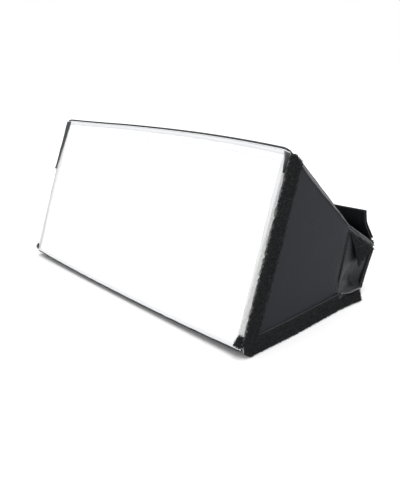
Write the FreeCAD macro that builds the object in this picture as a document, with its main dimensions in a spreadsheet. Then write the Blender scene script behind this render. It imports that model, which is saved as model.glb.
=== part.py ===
"""Folding softbox for a flash gun: stiffened vinyl panels around a white diffuser.

The box is a wedge.  Its outline is drawn in a "box frame" whose depth runs back from the
diffuser and whose height runs up it.  Every body is then tipped back by the angle of the
bottom panel, so that the bottom panel is level and the two side panels stand on the floor.

Row frame: +X to the right of the diffuser, +Y from the diffuser to the flash gun, +Z up.
The origin is under the middle of the box, on the floor.  All sizes are in millimetres.
"""
import FreeCAD
import Part
import Sketcher
import os

DOC = FreeCAD.newDocument("FlashSoftbox")
SHEET = DOC.addObject("Spreadsheet::Sheet", "Sizes")

SIZES = {
    # the wedge
    "front_height": 145.0,
    "front_width": 312.0,
    "throat_height": 66.0,
    "taper_depth": 102.0,
    # the collar that takes the flash head
    "collar_depth": 40.0,
    "mouth_height": 48.0,
    "collar_sheet": 1.6,
    "floor_gap": 0.4,
    "pleat_depth": 13.0,
    # layers of a panel
    "skin": 0.6,
    "board": 0.8,
    "lining": 0.4,
    "board_inset": 3.0,
    # diffuser
    "cloth": 0.6,
    "cloth_setback": 0.2,
    "hem_width": 5.5,
    "hem_raise": 0.5,
    "binding_raise": 0.4,
    "binding_drop": 1.5,
    # hook and loop tape
    "tape_width": 16.0,
    "tape_raise": 1.0,
    "hook_raise": 1.2,
    "strip_overhang": 6.5,
    # side panel
    "side_setback": 1.5,
    "side_gap": 0.1,
    "seam_gap": 0.3,
    "hinge_drop": 0.9,
    "hinge_slack": 0.6,
    "edge_band": 3.5,
    "edge_raise": 0.5,
    "toe_depth": 9.5,
    # corner tabs on the diffuser
    "tab_width": 9.0,
    "tab_raise": 1.0,
    "tab_clear": 1.0,
    "top_tab_height": 12.0,
    "bottom_tab_height": 8.0,
    # gusset at each end of the collar
    "gusset_sheet": 0.9,
    "gusset_clear": 5.0,
    "gusset_head_gap": 1.0,
    "patch_drop": 4.5,
    "patch_height": 20.0,
    "rim_height": 2.2,
    # tongue over the flash head
    "tongue_length": 30.0,
    "tongue_lean": 140.0,
    "tongue_lift": 1.0,
    "tongue_inset": 1.5,
    "tongue_root": 0.5,
    "tongue_end_gap": 1.0,
    "tongue_hem": 6.0,
    "grip_inset": 26.0,
}

for row, (name, value) in enumerate(SIZES.items(), start=1):
    SHEET.set(f"A{row}", name)
    SHEET.set(f"B{row}", str(value))
    SHEET.setAlias(f"B{row}", name)
DOC.recompute()


def size(name):
    """Return the expression that reads one named size."""
    return f"Sizes.{name}"


# Lengths worked out from the named sizes, as expressions.
RISE = f"({size('front_height')} - {size('throat_height')}) / 2"
SLOPE = f"(({RISE}) / {size('taper_depth')})"
STRETCH = f"sqrt(1 + {SLOPE} * {SLOPE})"
TILT = f"atan({SLOPE})"
PANEL = f"({size('skin')} + {size('board')} + {size('lining')})"
HALF = f"({size('front_width')} / 2)"
BACK = size("taper_depth")
REAR = f"({size('taper_depth')} + {size('collar_depth')})"
# The parts of the box end a seam inside the full width, and the side panels lie outside it.
BOX_END = f"({HALF} - {size('seam_gap')})"
SIDE_IN = f"({HALF} + {size('side_gap')})"
SIDE_OUT = f"({SIDE_IN} + {PANEL})"
CLOTH_BACK = f"({size('cloth_setback')} + {size('cloth')})"
HEM_FRONT = f"({size('cloth_setback')} - {size('hem_raise')})"
SIDE_TOP = f"({size('hinge_drop')} + {size('hinge_slack')})"
STRIP_TOP = f"({size('tape_width')} - {size('strip_overhang')})"


def upper(depth, inset="0"):
    """Height, at a depth, of a line that lies inset inside the top panel's outer face."""
    return f"{size('front_height')} - {SLOPE} * ({depth}) - ({inset}) * {STRETCH}"


def lower(depth, inset="0"):
    """Height, at a depth, of a line that lies inset inside the bottom panel's outer face."""
    return f"{SLOPE} * ({depth}) + ({inset}) * {STRETCH}"


MOUTH_LOW = lower(REAR, f"{size('floor_gap')} - {size('strip_overhang')}")
MOUTH_HIGH = f"({MOUTH_LOW} + {size('mouth_height')})"


def deck(depth, drop="0"):
    """Height, at a depth behind the crease, of the collar's upper face less a drop."""
    start = f"({upper(BACK)})"
    return f"{start} + ({MOUTH_HIGH} - {start}) * (({depth}) - {BACK}) / {size('collar_depth')} - ({drop})"


def sill(depth, lift="0"):
    """Height, at a depth behind the crease, of the collar's lower face plus a lift."""
    start = f"({lower(BACK)})"
    return f"{start} + ({MOUTH_LOW} - {start}) * (({depth}) - {BACK}) / {size('collar_depth')} + ({lift})"


# The frame: tipped back about the front bottom edge, lifted on to the side panels' lower
# edges, and moved so that the origin is under the middle of the box.
FRONT_Y = f"(-{size('binding_raise')} * cos({TILT}))"
REAR_Y = f"({REAR} * cos({TILT}) + {MOUTH_HIGH} * sin({TILT}))"
FRAME = (
    f"create(<<placement>>; create(<<vector>>; 0; -({FRONT_Y} + {REAR_Y}) / 2; {size('strip_overhang')});"
    f" create(<<rotation>>; create(<<vector>>; 1; 0; 0); -{TILT}))"
)

NODES = []


def profile(body, plane, corners, offset):
    """Draw a closed outline on one of a body's own planes, every corner bound to the sheet.

    The plane is YZ_Plane for (depth, height) corners or XY_Plane for (across, depth) ones.
    """
    sketch = body.newObject("Sketcher::SketchObject", "Outline")
    support = next(item for item in body.Origin.OriginFeatures if item.Role == plane)
    sketch.AttachmentSupport = [(support, "")]
    sketch.MapMode = "FlatFace"
    sketch.setExpression("AttachmentOffset.Base.z", offset)
    places = [
        FreeCAD.Vector(float(body.evalExpression(across)), float(body.evalExpression(along)), 0)
        for across, along in corners
    ]
    count = len(places)
    for index, place in enumerate(places):
        sketch.addGeometry(Part.LineSegment(place, places[(index + 1) % count]))
    for index in range(count):
        sketch.addConstraint(Sketcher.Constraint("Coincident", index, 2, (index + 1) % count, 1))
    for index, place in enumerate(places):
        for kind, value, text in (
            ("DistanceX", place.x, corners[index][0]),
            ("DistanceY", place.y, corners[index][1]),
        ):
            number = sketch.addConstraint(Sketcher.Constraint(kind, -1, 1, index, 1, value))
            sketch.setExpression(f"Constraints[{number}]", text)
    return sketch


def piece(label, plane, corners, start, end):
    """Make one named body: an outline on a plane, padded from start to end along its normal."""
    body = DOC.addObject("PartDesign::Body", label)
    body.Label = label
    sketch = profile(body, plane, corners, start)
    pad = body.newObject("PartDesign::Pad", "Pad")
    pad.Profile = sketch
    pad.setExpression("Length", f"({end}) - ({start})")
    body.Tip = pad
    body.setExpression(".Placement", FRAME)
    NODES.append(body)
    return body


def across(label, corners, start, end):
    """Make a piece whose (depth, height) outline runs across the box from start to end."""
    return piece(label, "YZ_Plane", corners, start, end)


def sideways(name, side, corners, start, end):
    """Make one of a mirrored pair of across pieces.  Side is right or left."""
    if side == "right":
        return across(f"{side}_{name}", corners, start, end)
    return across(f"{side}_{name}", corners, f"-({end})", f"-({start})")


def upright(name, side, corners, start, end):
    """Make one of a mirrored pair of pieces with an (across, depth) outline, padded upwards."""
    sign = "" if side == "right" else "-"
    mirrored = [(f"{sign}({over})", depth) for over, depth in corners]
    return piece(f"{side}_{name}", "XY_Plane", mirrored, start, end)


def slab(edge, front, rear, near, far):
    """Outline of a flat layer of a sloping panel, between two insets from its outer face."""
    return [
        (front, edge(front, near)),
        (rear, edge(rear, near)),
        (rear, edge(rear, far)),
        (front, edge(front, far)),
    ]


def box(front, rear, low, high):
    """Outline of an upright rectangle in depth and height."""
    return [(front, low), (rear, low), (rear, high), (front, high)]


def layered_panel(name, edge):
    """Make the top or bottom panel: vinyl skin, stiffener board and white lining."""
    skin = size("skin")
    board_far = f"{skin} + {size('board')}"
    inset = size("board_inset")
    inner = f"{BOX_END} - {inset}"
    across(f"{name}_skin", slab(edge, "0", BACK, "0", skin), f"-{BOX_END}", BOX_END)
    core = slab(edge, inset, f"{BACK} - {inset}", skin, board_far)
    across(f"{name}_board", core, f"-({inner})", inner)
    across(f"{name}_lining", slab(edge, "0", BACK, board_far, PANEL), f"-{BOX_END}", BOX_END)


def front_bindings():
    """Make the thin dark bindings along the top and bottom front edges."""
    for name, edge in (("top", upper), ("bottom", lower)):
        front = f"-{size('binding_raise')}"
        outline = box(front, "0", edge("0", size("binding_drop")), edge("0"))
        across(f"{name}_front_binding", outline, f"-{BOX_END}", BOX_END)


def diffuser():
    """Make the diffuser cloth, its hems, the hook tape folded back at its ends and its corner tabs."""
    low = lower(CLOTH_BACK, PANEL)
    high = upper(CLOTH_BACK, PANEL)
    hem = size("hem_width")
    across("diffuser_cloth", box(size("cloth_setback"), CLOTH_BACK, low, high), f"-{BOX_END}", BOX_END)
    across("diffuser_hem_top", box(HEM_FRONT, size("cloth_setback"), f"{high} - {hem}", high),
           f"-{BOX_END}", BOX_END)
    across("diffuser_hem_bottom", box(HEM_FRONT, size("cloth_setback"), low, f"{low} + {hem}"),
           f"-{BOX_END}", BOX_END)
    for side in ("right", "left"):
        end_hem = box(HEM_FRONT, size("cloth_setback"), f"{low} + {hem}", f"{high} - {hem}")
        sideways("diffuser_hem", side, end_hem, f"{BOX_END} - {hem}", BOX_END)
        rear = f"({CLOTH_BACK} + {size('tape_width')})"
        returned = [
            (CLOTH_BACK, lower(CLOTH_BACK, PANEL)),
            (rear, lower(rear, PANEL)),
            (rear, upper(rear, PANEL)),
            (CLOTH_BACK, upper(CLOTH_BACK, PANEL)),
        ]
        sideways("diffuser_hook_return", side, returned, f"{BOX_END} - {size('hook_raise')}", BOX_END)
        tab_front = f"({HEM_FRONT} - {size('tab_raise')})"
        tab_in = f"{BOX_END} - {size('tab_width')}"
        top_edge = f"({high} - {size('tab_clear')})"
        bottom_edge = f"({low} + {size('tab_clear')})"
        top_tab = box(tab_front, HEM_FRONT, f"{top_edge} - {size('top_tab_height')}", top_edge)
        bottom_tab = box(tab_front, HEM_FRONT, bottom_edge, f"{bottom_edge} + {size('bottom_tab_height')}")
        sideways("corner_tab_top", side, top_tab, tab_in, BOX_END)
        sideways("corner_tab_bottom", side, bottom_tab, tab_in, BOX_END)


def base_ends(side):
    """Make the pieces that the top and bottom panels carry at one end of the box."""
    hook_in = f"{BOX_END} - {size('hook_raise')}"
    start = f"({CLOTH_BACK} + {size('tape_width')})"
    sideways("bottom_hook_strip", side, slab(lower, start, BACK, PANEL, f"{PANEL} + {STRIP_TOP}"),
             hook_in, BOX_END)
    sideways("top_edge_binding", side, slab(upper, "0", BACK, f"-{size('binding_raise')}", "0"),
             f"{BOX_END} - {size('edge_band')}", BOX_END)
    rim_low = f"{size('collar_sheet')} + {size('rim_height')}"
    rim = [
        (BACK, deck(BACK, size("collar_sheet"))),
        (REAR, deck(REAR, size("collar_sheet"))),
        (REAR, deck(REAR, rim_low)),
        (BACK, deck(BACK, rim_low)),
    ]
    sideways("collar_rim", side, rim, f"{BOX_END} - {size('edge_band')}", BOX_END)


def collar():
    """Make the collar's upper and lower flaps with the grip strips that hold a flash head."""
    sheet = size("collar_sheet")
    across("collar_top_flap", slab(deck, BACK, REAR, "0", sheet), f"-{BOX_END}", BOX_END)
    across("collar_bottom_flap", slab(sill, BACK, REAR, "0", sheet), f"-{BOX_END}", BOX_END)
    grip = f"{sheet} + {size('tape_raise')}"
    front = f"({REAR} - {size('tape_width')} - {size('tongue_hem')})"
    back = f"({REAR} - {size('tongue_hem')})"
    over = slab(deck, front, back, sheet, grip)
    under = slab(sill, front, back, sheet, grip)
    reach = f"({BOX_END} - {size('grip_inset')})"
    across("collar_grip_top", over, f"-{reach}", reach)
    across("collar_grip_bottom", under, f"-{reach}", reach)


def side_outline(inset):
    """Outline of a side panel, drawn inset inside its edges; its lower edge stands on the floor."""
    front = f"({size('side_setback')} + {inset})"
    back = f"({BACK} + {size('side_setback')} - {inset})"
    toe = f"({size('toe_depth')} + {inset})"
    overhang = f"{inset} - {size('strip_overhang')}"
    heel = f"({front} + 2 * {size('side_setback')} / 3)"
    return [
        (front, upper(front, f"{SIDE_TOP} + {inset}")),
        (front, f"{size('side_setback')} * 2 + {inset}"),
        (heel, f"{inset} - {size('side_setback')}"),
        (toe, lower(toe, overhang)),
        (back, lower(back, overhang)),
        (back, upper(back, f"{SIDE_TOP} + {inset}")),
    ]


def side_panel(side):
    """Make one side panel: lining, board and skin, and the loop strips and binding on its face."""
    lining_out = f"({SIDE_IN} + {size('lining')})"
    board_out = f"({lining_out} + {size('board')})"
    sideways("side_lining", side, side_outline("0"), SIDE_IN, lining_out)
    sideways("side_board", side, side_outline(size("board_inset")), lining_out, board_out)
    sideways("side_skin", side, side_outline("0"), board_out, SIDE_OUT)
    tape_out = f"({SIDE_OUT} + {size('tape_raise')})"
    outline = side_outline("0")
    strip_back = f"({size('side_setback')} + {size('tape_width')})"
    overhang = f"-{size('strip_overhang')}"
    front_strip = [
        outline[0],
        outline[1],
        outline[2],
        outline[3],
        (strip_back, lower(strip_back, overhang)),
        (strip_back, upper(strip_back, SIDE_TOP)),
    ]
    sideways("front_loop_strip", side, front_strip, SIDE_OUT, tape_out)
    strip_end = f"({BACK} + {size('side_setback')})"
    sideways("bottom_loop_strip", side, slab(lower, strip_back, strip_end, overhang, STRIP_TOP),
             SIDE_OUT, tape_out)
    band = slab(upper, strip_back, strip_end, SIDE_TOP, f"{SIDE_TOP} + {size('edge_band')}")
    sideways("side_edge_binding", side, band, SIDE_OUT, f"{SIDE_OUT} + {size('edge_raise')}")


def gusset(side):
    """Make the soft end of the collar, which hangs behind the side panel and is pleated inwards."""
    sheet = size("gusset_sheet")
    join = f"({BACK} + {size('side_setback')})"
    fold = f"(({BACK} + {REAR}) / 2)"
    stop = f"({REAR} - {size('side_setback')})"
    pleat = f"({HALF} - {size('pleat_depth')})"
    flat = f"({HALF} - {sheet})"
    leg = f"({sheet} * 1.5)"
    low = sill(stop, f"{size('collar_sheet')} + {size('gusset_clear')}")
    head_drop = f"{size('collar_sheet')} + {size('rim_height')} + {size('gusset_head_gap')}"
    high = deck(fold, head_drop)
    rear_high = deck(stop, head_drop)
    front_leg = [
        (SIDE_IN, join),
        (SIDE_OUT, join),
        (f"{pleat} + {sheet}", fold),
        (pleat, fold),
    ]
    upright("gusset_front_fold", side, front_leg, low, high)
    rear_leg = [
        (pleat, fold),
        (f"{pleat} + {sheet}", fold),
        (HALF, f"{stop} - {leg}"),
        (HALF, stop),
        (flat, stop),
    ]
    upright("gusset_rear_fold", side, rear_leg, low, rear_high)
    band = box(stop, REAR, low, rear_high)
    sideways("gusset_rear_band", side, band, f"{HALF} - 2 * {sheet}", HALF)
    patch_in = f"({SIDE_IN} + {size('lining')})"
    patch = [
        (join, deck(join, size("patch_drop"))),
        (REAR, deck(REAR, size("patch_drop"))),
        (fold, deck(fold, f"{size('patch_drop')} + {size('patch_height')}")),
    ]
    sideways("gusset_loop_patch", side, patch, SIDE_IN, patch_in)
    foot_top = f"{size('tape_width')} / 2 - {size('strip_overhang')} / 2"
    overhang = f"-{size('strip_overhang')}"
    foot = [
        (join, lower(join, overhang)),
        (REAR, lower(REAR, overhang)),
        (REAR, lower(REAR, foot_top)),
        (join, lower(join, STRIP_TOP)),
    ]
    sideways("collar_foot_loop", side, foot, SIDE_IN, SIDE_OUT)


def leaf(along, off):
    """A point on the tongue: along it from its hinge line, and off its middle plane."""
    lean = size("tongue_lean")
    hinge_depth = f"{REAR} - {size('tongue_inset')}"
    hinge_height = f"{deck(hinge_depth)} + {size('tongue_lift')}"
    depth = f"{hinge_depth} + ({along}) * cos({lean}) - ({off}) * sin({lean})"
    height = f"{hinge_height} + ({along}) * sin({lean}) + ({off}) * cos({lean})"
    return depth, height


def leaf_slab(start, end, near, far):
    """Outline of a flat layer of the tongue."""
    return [leaf(start, near), leaf(end, near), leaf(end, far), leaf(start, far)]


def tongue():
    """Make the tongue that folds over a flash head, hinged on the collar's rear upper edge."""
    length = size("tongue_length")
    half_sheet = f"({size('collar_sheet')} / 2)"
    side_end = f"({BOX_END} - {size('tongue_end_gap')})"
    root = size("tongue_root")
    hem = size("tongue_hem")
    skin_far = f"({half_sheet} - {size('skin')})"
    across("tongue_skin", leaf_slab(root, length, skin_far, half_sheet), f"-{side_end}", side_end)
    across("tongue_lining", leaf_slab(root, length, f"-{half_sheet}", skin_far), f"-{side_end}", side_end)
    grip_start = f"{length} - {hem} / 2 - {size('tape_width')}"
    grip_end = f"{length} - {hem} / 2"
    reach = f"({BOX_END} - {size('grip_inset')})"
    grip = leaf_slab(grip_start, grip_end, half_sheet, f"{half_sheet} + {size('tape_raise')}")
    across("tongue_hook_strip", grip, f"-{reach}", reach)
    for side in ("right", "left"):
        end = leaf_slab(f"{hem} / 2", length, half_sheet, f"{half_sheet} + {size('binding_raise')}")
        sideways("tongue_end_hem", side, end, f"{side_end} - {hem}", side_end)


def build():
    """Make every piece of the softbox."""
    layered_panel("top", upper)
    layered_panel("bottom", lower)
    front_bindings()
    diffuser()
    collar()
    for side in ("right", "left"):
        base_ends(side)
        side_panel(side)
        gusset(side)
    tongue()


def check():
    """Stop if any object failed or any piece has no sound solid."""
    for item in DOC.Objects:
        if {"Invalid", "Error"} & set(item.State):
            raise RuntimeError(f"{item.Label} failed: {item.State}")
    for body in NODES:
        shape = body.Shape
        if shape.isNull() or not shape.isValid() or shape.Volume <= 0:
            raise RuntimeError(f"{body.Label} has no sound solid")


build()
DOC.recompute()
check()
os.makedirs("parts", exist_ok=True)
for node in NODES:
    node.Shape.exportStep(os.path.join("parts", f"{node.Label}.step"))
print(len(NODES), "pieces written")
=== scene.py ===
"""Looks for a folding softbox: vinyl, cloth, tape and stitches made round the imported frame.

Every shape is worked out in the box frame of the part, in millimetres: across the box, depth
back from the diffuser and height up it.  Wedge.place turns that into the row frame, in metres.
"""
from __future__ import annotations

import logging
import math
from dataclasses import dataclass, field
from enum import Enum
from typing import Callable, Sequence

import bpy
import numpy as np
from mathutils import Matrix, Vector


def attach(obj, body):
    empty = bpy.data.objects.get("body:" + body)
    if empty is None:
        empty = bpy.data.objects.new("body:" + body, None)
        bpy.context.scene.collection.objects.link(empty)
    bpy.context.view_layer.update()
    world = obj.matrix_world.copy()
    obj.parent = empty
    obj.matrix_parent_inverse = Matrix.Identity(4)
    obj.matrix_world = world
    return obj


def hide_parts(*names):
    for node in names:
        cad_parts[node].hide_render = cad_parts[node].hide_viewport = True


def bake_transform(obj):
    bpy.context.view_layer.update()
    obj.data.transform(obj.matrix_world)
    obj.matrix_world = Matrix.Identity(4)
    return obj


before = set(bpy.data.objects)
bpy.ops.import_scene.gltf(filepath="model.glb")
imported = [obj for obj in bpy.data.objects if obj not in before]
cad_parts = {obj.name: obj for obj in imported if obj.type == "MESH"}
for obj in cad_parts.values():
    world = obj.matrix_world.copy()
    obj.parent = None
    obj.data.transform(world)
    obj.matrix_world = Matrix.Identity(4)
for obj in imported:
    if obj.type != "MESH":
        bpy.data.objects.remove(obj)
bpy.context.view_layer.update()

LOG = logging.getLogger("softbox")
MM = 0.001
# Shares of a cut: the step that its slopes are taken over, and how near an edge they are taken.
STEP = 1e-3
BRINK = 0.002

Array = np.ndarray
Surface = Callable[[Array, Array], Array]


# ----------------------------------------
# The box frame and its named sizes
# ----------------------------------------


def held(share: Array | float) -> Array | float:
    """A share held between 0 and 1."""
    return np.clip(share, 0, 1)


def hump(share: Array, power: float = 1.0) -> Array:
    """Half a sine wave over a share from 0 to 1, raised to a power, and nothing outside it."""
    return held(np.sin(math.pi * held(share))) ** power


class Side(Enum):
    """The two ends of the box, with the sign of the across direction."""

    RIGHT = 1
    LEFT = -1

    @property
    def word(self) -> str:
        """The word that begins the names of this side's pieces."""
        return self.name.lower()

    @property
    def out(self) -> Array:
        """The direction that looks out of this end."""
        return np.array([float(self.value), 0.0, 0.0])


@dataclass(frozen=True)
class Wedge:
    """Named sizes of the box, in millimetres, and the way from its own frame to the row frame."""

    front_height: float = 145.0
    front_width: float = 312.0
    throat_height: float = 66.0
    taper_depth: float = 102.0
    collar_depth: float = 40.0
    mouth_height: float = 48.0
    collar_sheet: float = 1.6
    floor_gap: float = 0.4
    skin: float = 0.6
    board: float = 0.8
    lining: float = 0.4
    board_inset: float = 3.0
    cloth: float = 0.6
    cloth_setback: float = 0.2
    hem_width: float = 5.5
    binding_raise: float = 0.4
    tape_width: float = 16.0
    strip_overhang: float = 6.5
    side_setback: float = 1.5
    side_gap: float = 0.1
    seam_gap: float = 0.3
    side_top: float = 1.5
    toe_depth: float = 9.5
    grip_inset: float = 26.0
    bow: float = 4.8
    sag: float = 2.6
    draw_in: float = 2.4
    rim_flare: float = 1.8
    splay: float = 2.6
    slump: float = 5.5
    slump_from: float = 60.0
    slump_back: float = 26.0
    bow_power: float = 2.4
    draw_power: float = 1.6

    @property
    def slope(self) -> float:
        """Rise of the bottom panel for each millimetre of depth."""
        return (self.front_height - self.throat_height) / 2 / self.taper_depth

    @property
    def stretch(self) -> float:
        """Height taken by one millimetre measured square to a sloping panel."""
        return math.hypot(1, self.slope)

    @property
    def box_end(self) -> float:
        """How far across the top, the bottom and the diffuser reach."""
        return self.front_width / 2 - self.seam_gap

    @property
    def side_in(self) -> float:
        """How far across the inner face of a side panel is."""
        return self.front_width / 2 + self.side_gap

    @property
    def panel(self) -> float:
        """Thickness of a panel: skin, board and lining."""
        return self.skin + self.board + self.lining

    @property
    def side_out(self) -> float:
        """How far across the outer face of a side panel is."""
        return self.side_in + self.panel

    @property
    def rear(self) -> float:
        """Depth of the collar's rear edge."""
        return self.taper_depth + self.collar_depth

    @property
    def mouth_low(self) -> float:
        """Height of the collar's lower face at its rear edge."""
        return self.lower(self.rear, self.floor_gap - self.strip_overhang)

    @property
    def mouth_high(self) -> float:
        """Height of the collar's upper face at its rear edge."""
        return self.mouth_low + self.mouth_height

    def upper(self, depth: Array | float, inset: float = 0.0) -> Array | float:
        """Height of a line that lies inset inside the top panel's outer face."""
        return self.front_height - self.slope * depth - inset * self.stretch

    def lower(self, depth: Array | float, inset: float = 0.0) -> Array | float:
        """Height of a line that lies inset inside the bottom panel's outer face."""
        return self.slope * depth + inset * self.stretch

    def deck(self, depth: Array | float, drop: float = 0.0) -> Array | float:
        """Height of the collar's upper face, less a drop."""
        start = self.upper(self.taper_depth)
        return start + (self.mouth_high - start) * (depth - self.taper_depth) / self.collar_depth - drop

    def sill(self, depth: Array | float, lift: float = 0.0) -> Array | float:
        """Height of the collar's lower face, plus a lift."""
        start = self.lower(self.taper_depth)
        return start + (self.mouth_low - start) * (depth - self.taper_depth) / self.collar_depth + lift

    def foot(self, depth: Array | float) -> Array | float:
        """Height of a side panel's lower edge, which is cut off at the toe in front."""
        setback = self.side_setback
        stops = [setback, setback * 5 / 3, self.toe_depth, self.rear]
        heights = [setback * 2, -setback, self.lower(self.toe_depth, -self.strip_overhang),
                   self.lower(self.rear, -self.strip_overhang)]
        return np.interp(depth, stops, heights)

    def end(self, depth: Array, inset: float = 0.0) -> Array:
        """How far across the top panel and the collar reach.

        The ends are drawn in towards the crease by a power of the depth, and flare out again
        in a straight line to the collar's rear edge.
        """
        back = held(depth / self.taper_depth) ** self.draw_power
        past = np.clip((depth - self.taper_depth) / self.collar_depth, 0, 1.1)
        return self.box_end - inset - self.draw_in * back + (self.draw_in + self.rim_flare) * past

    def twist(self, depth: Array, share: Array) -> Array:
        """How far a side panel leans out at a share of its height: in at the top, out at the foot."""
        back = held(depth / self.taper_depth)
        share = held(share)
        drawn = self.draw_in * back**self.draw_power * share
        return self.splay * (1 - share) ** 5 * held(2 * back) - drawn

    def arch(self, across: Array, depth: Array) -> Array:
        """How much of a panel's bow there is at a place.

        One minus the share across raised to a power, which is flat in the middle and steep near
        the ends, fading in a straight line from the front edge to the crease.
        """
        share = held(np.abs(across) / self.box_end)
        return (1 - share**self.bow_power) * held(1 - depth / self.taper_depth)

    def place(self, across: Array, depth: Array, height: Array) -> Array:
        """Turn a place in the box frame into the row frame.

        Slump the upper left front corner in and up, by a weight that dies out away from it.
        Tip back about the front bottom edge by the angle of the bottom panel, then lift on to
        the side panels' lower edges and centre the whole depth.

        Args:
            across: Distance to the right of the middle.
            depth: Distance back from the diffuser.
            height: Distance up the diffuser.

        Returns:
            Points in metres, with one more axis than the input, of length three.
        """
        across, depth, height = np.broadcast_arrays(across, depth, height)
        left = held((-across - self.slump_from) / (self.front_width / 2 - self.slump_from))
        near = left**2 * np.exp(-np.clip(depth, 0, None) / self.slump_back)
        corner = self.slump * near * held(height / self.front_height) ** 1.8
        across, height = across + corner, height + 0.6 * corner
        tilt = math.atan(self.slope)
        cos, sin = math.cos(tilt), math.sin(tilt)
        shift = -(-self.binding_raise * cos + self.rear * cos + self.mouth_high * sin) / 2
        return np.stack(
            [across, depth * cos + height * sin + shift,
             -depth * sin + height * cos + self.strip_overhang],
            axis=-1,
        ) * MM



def ripple(first: Array, second: Array, wavelength: float, seed: int, waves: int = 7) -> Array:
    """Smooth unevenness between about -1 and 1.

    The mean of sine waves that run in random directions, with lengths near the given one.

    Args:
        first: One coordinate, in millimetres.
        second: The other coordinate, in millimetres.
        wavelength: Typical length of a wave, in millimetres.
        seed: Seed of the directions, lengths and phases.
        waves: Number of waves.

    Returns:
        The unevenness at each place.
    """
    draw = np.random.default_rng(seed)
    total = np.zeros(np.broadcast(first, second).shape)
    for angle, stretch, phase in draw.uniform([0, 0.6, 0], [math.pi, 1.7, 2 * math.pi], (waves, 3)):
        along = first * math.cos(angle) + second * math.sin(angle)
        total = total + np.sin(2 * math.pi * along / (wavelength * stretch) + phase)
    return total * 1.6 / waves


def unit(vectors: Array) -> Array:
    """Scale vectors to a length of one."""
    return vectors / np.maximum(np.linalg.norm(vectors, axis=-1, keepdims=True), 1e-12)


# ----------------------------------------
# Meshes worked out as whole arrays
# ----------------------------------------


@dataclass
class Form:
    """Points, faces and the two patterns that finishes read: a flat map and a trim value.

    The flat map is in millimetres.  The trim value of a sheet is the distance to its nearest
    edge in millimetres, and the trim value of a fibre or stitch is a random tone.
    """

    points: Array
    quads: Array
    triangles: Array
    flat: Array
    trim: Array

    def joined(self, *others: "Form") -> "Form":
        """Put this form and others into one."""
        every = [self, *others]
        starts = np.cumsum([0] + [len(form.points) for form in every[:-1]])
        return Form(
            np.concatenate([form.points for form in every]),
            np.concatenate([form.quads + start for form, start in zip(every, starts)]),
            np.concatenate([form.triangles + start for form, start in zip(every, starts)]),
            np.concatenate([form.flat for form in every]),
            np.concatenate([form.trim for form in every]),
        )

    def outward(self) -> "Form":
        """Turn every face over if the closed form's volume comes out negative."""
        corners = np.concatenate([self.quads[:, [0, 1, 2]], self.quads[:, [0, 2, 3]], self.triangles])
        a, b, c = (self.points[corners[:, k]] for k in range(3))
        if (a * np.cross(b, c)).sum() < 0:
            self.quads, self.triangles = self.quads[:, ::-1], self.triangles[:, ::-1]
        return self

    def build(self, name: str, crease: float = 50.0) -> bpy.types.Object:
        """Make the Blender object.

        Args:
            name: Name of the piece.
            crease: Angle between faces, in degrees, above which an edge is sharp.

        Returns:
            The new object, at the origin.
        """
        mesh = bpy.data.meshes.new(name)
        mesh.vertices.add(len(self.points))
        mesh.vertices.foreach_set("co", self.points.astype(np.float32).ravel())
        loops = np.concatenate([self.quads.ravel(), self.triangles.ravel()]).astype(np.int32)
        mesh.loops.add(len(loops))
        mesh.loops.foreach_set("vertex_index", loops)
        sizes = np.concatenate([np.full(len(self.quads), 4), np.full(len(self.triangles), 3)])
        mesh.polygons.add(len(sizes))
        mesh.polygons.foreach_set("loop_start", (np.cumsum(sizes) - sizes).astype(np.int32))
        mesh.update(calc_edges=True)
        mesh.polygons.foreach_set("use_smooth", np.ones(len(sizes), bool))
        mesh.set_sharp_from_angle(angle=math.radians(crease))
        layer = mesh.uv_layers.new(name="flat")
        layer.data.foreach_set("uv", self.flat[loops].astype(np.float32).ravel())
        trim = mesh.attributes.new("trim", "FLOAT", "POINT")
        trim.data.foreach_set("value", self.trim.astype(np.float32))
        piece = bpy.data.objects.new(name, mesh)
        bpy.context.scene.collection.objects.link(piece)
        return piece


def ring_faces(rings: int, around: int) -> Array:
    """Quads that join rings of points, each ring closed on itself."""
    ring, spoke = np.meshgrid(np.arange(rings - 1), np.arange(around), indexing="ij")
    after = (spoke + 1) % around
    return np.stack(
        [ring * around + spoke, ring * around + after,
         (ring + 1) * around + after, (ring + 1) * around + spoke],
        axis=-1,
    ).reshape(-1, 4)


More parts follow.
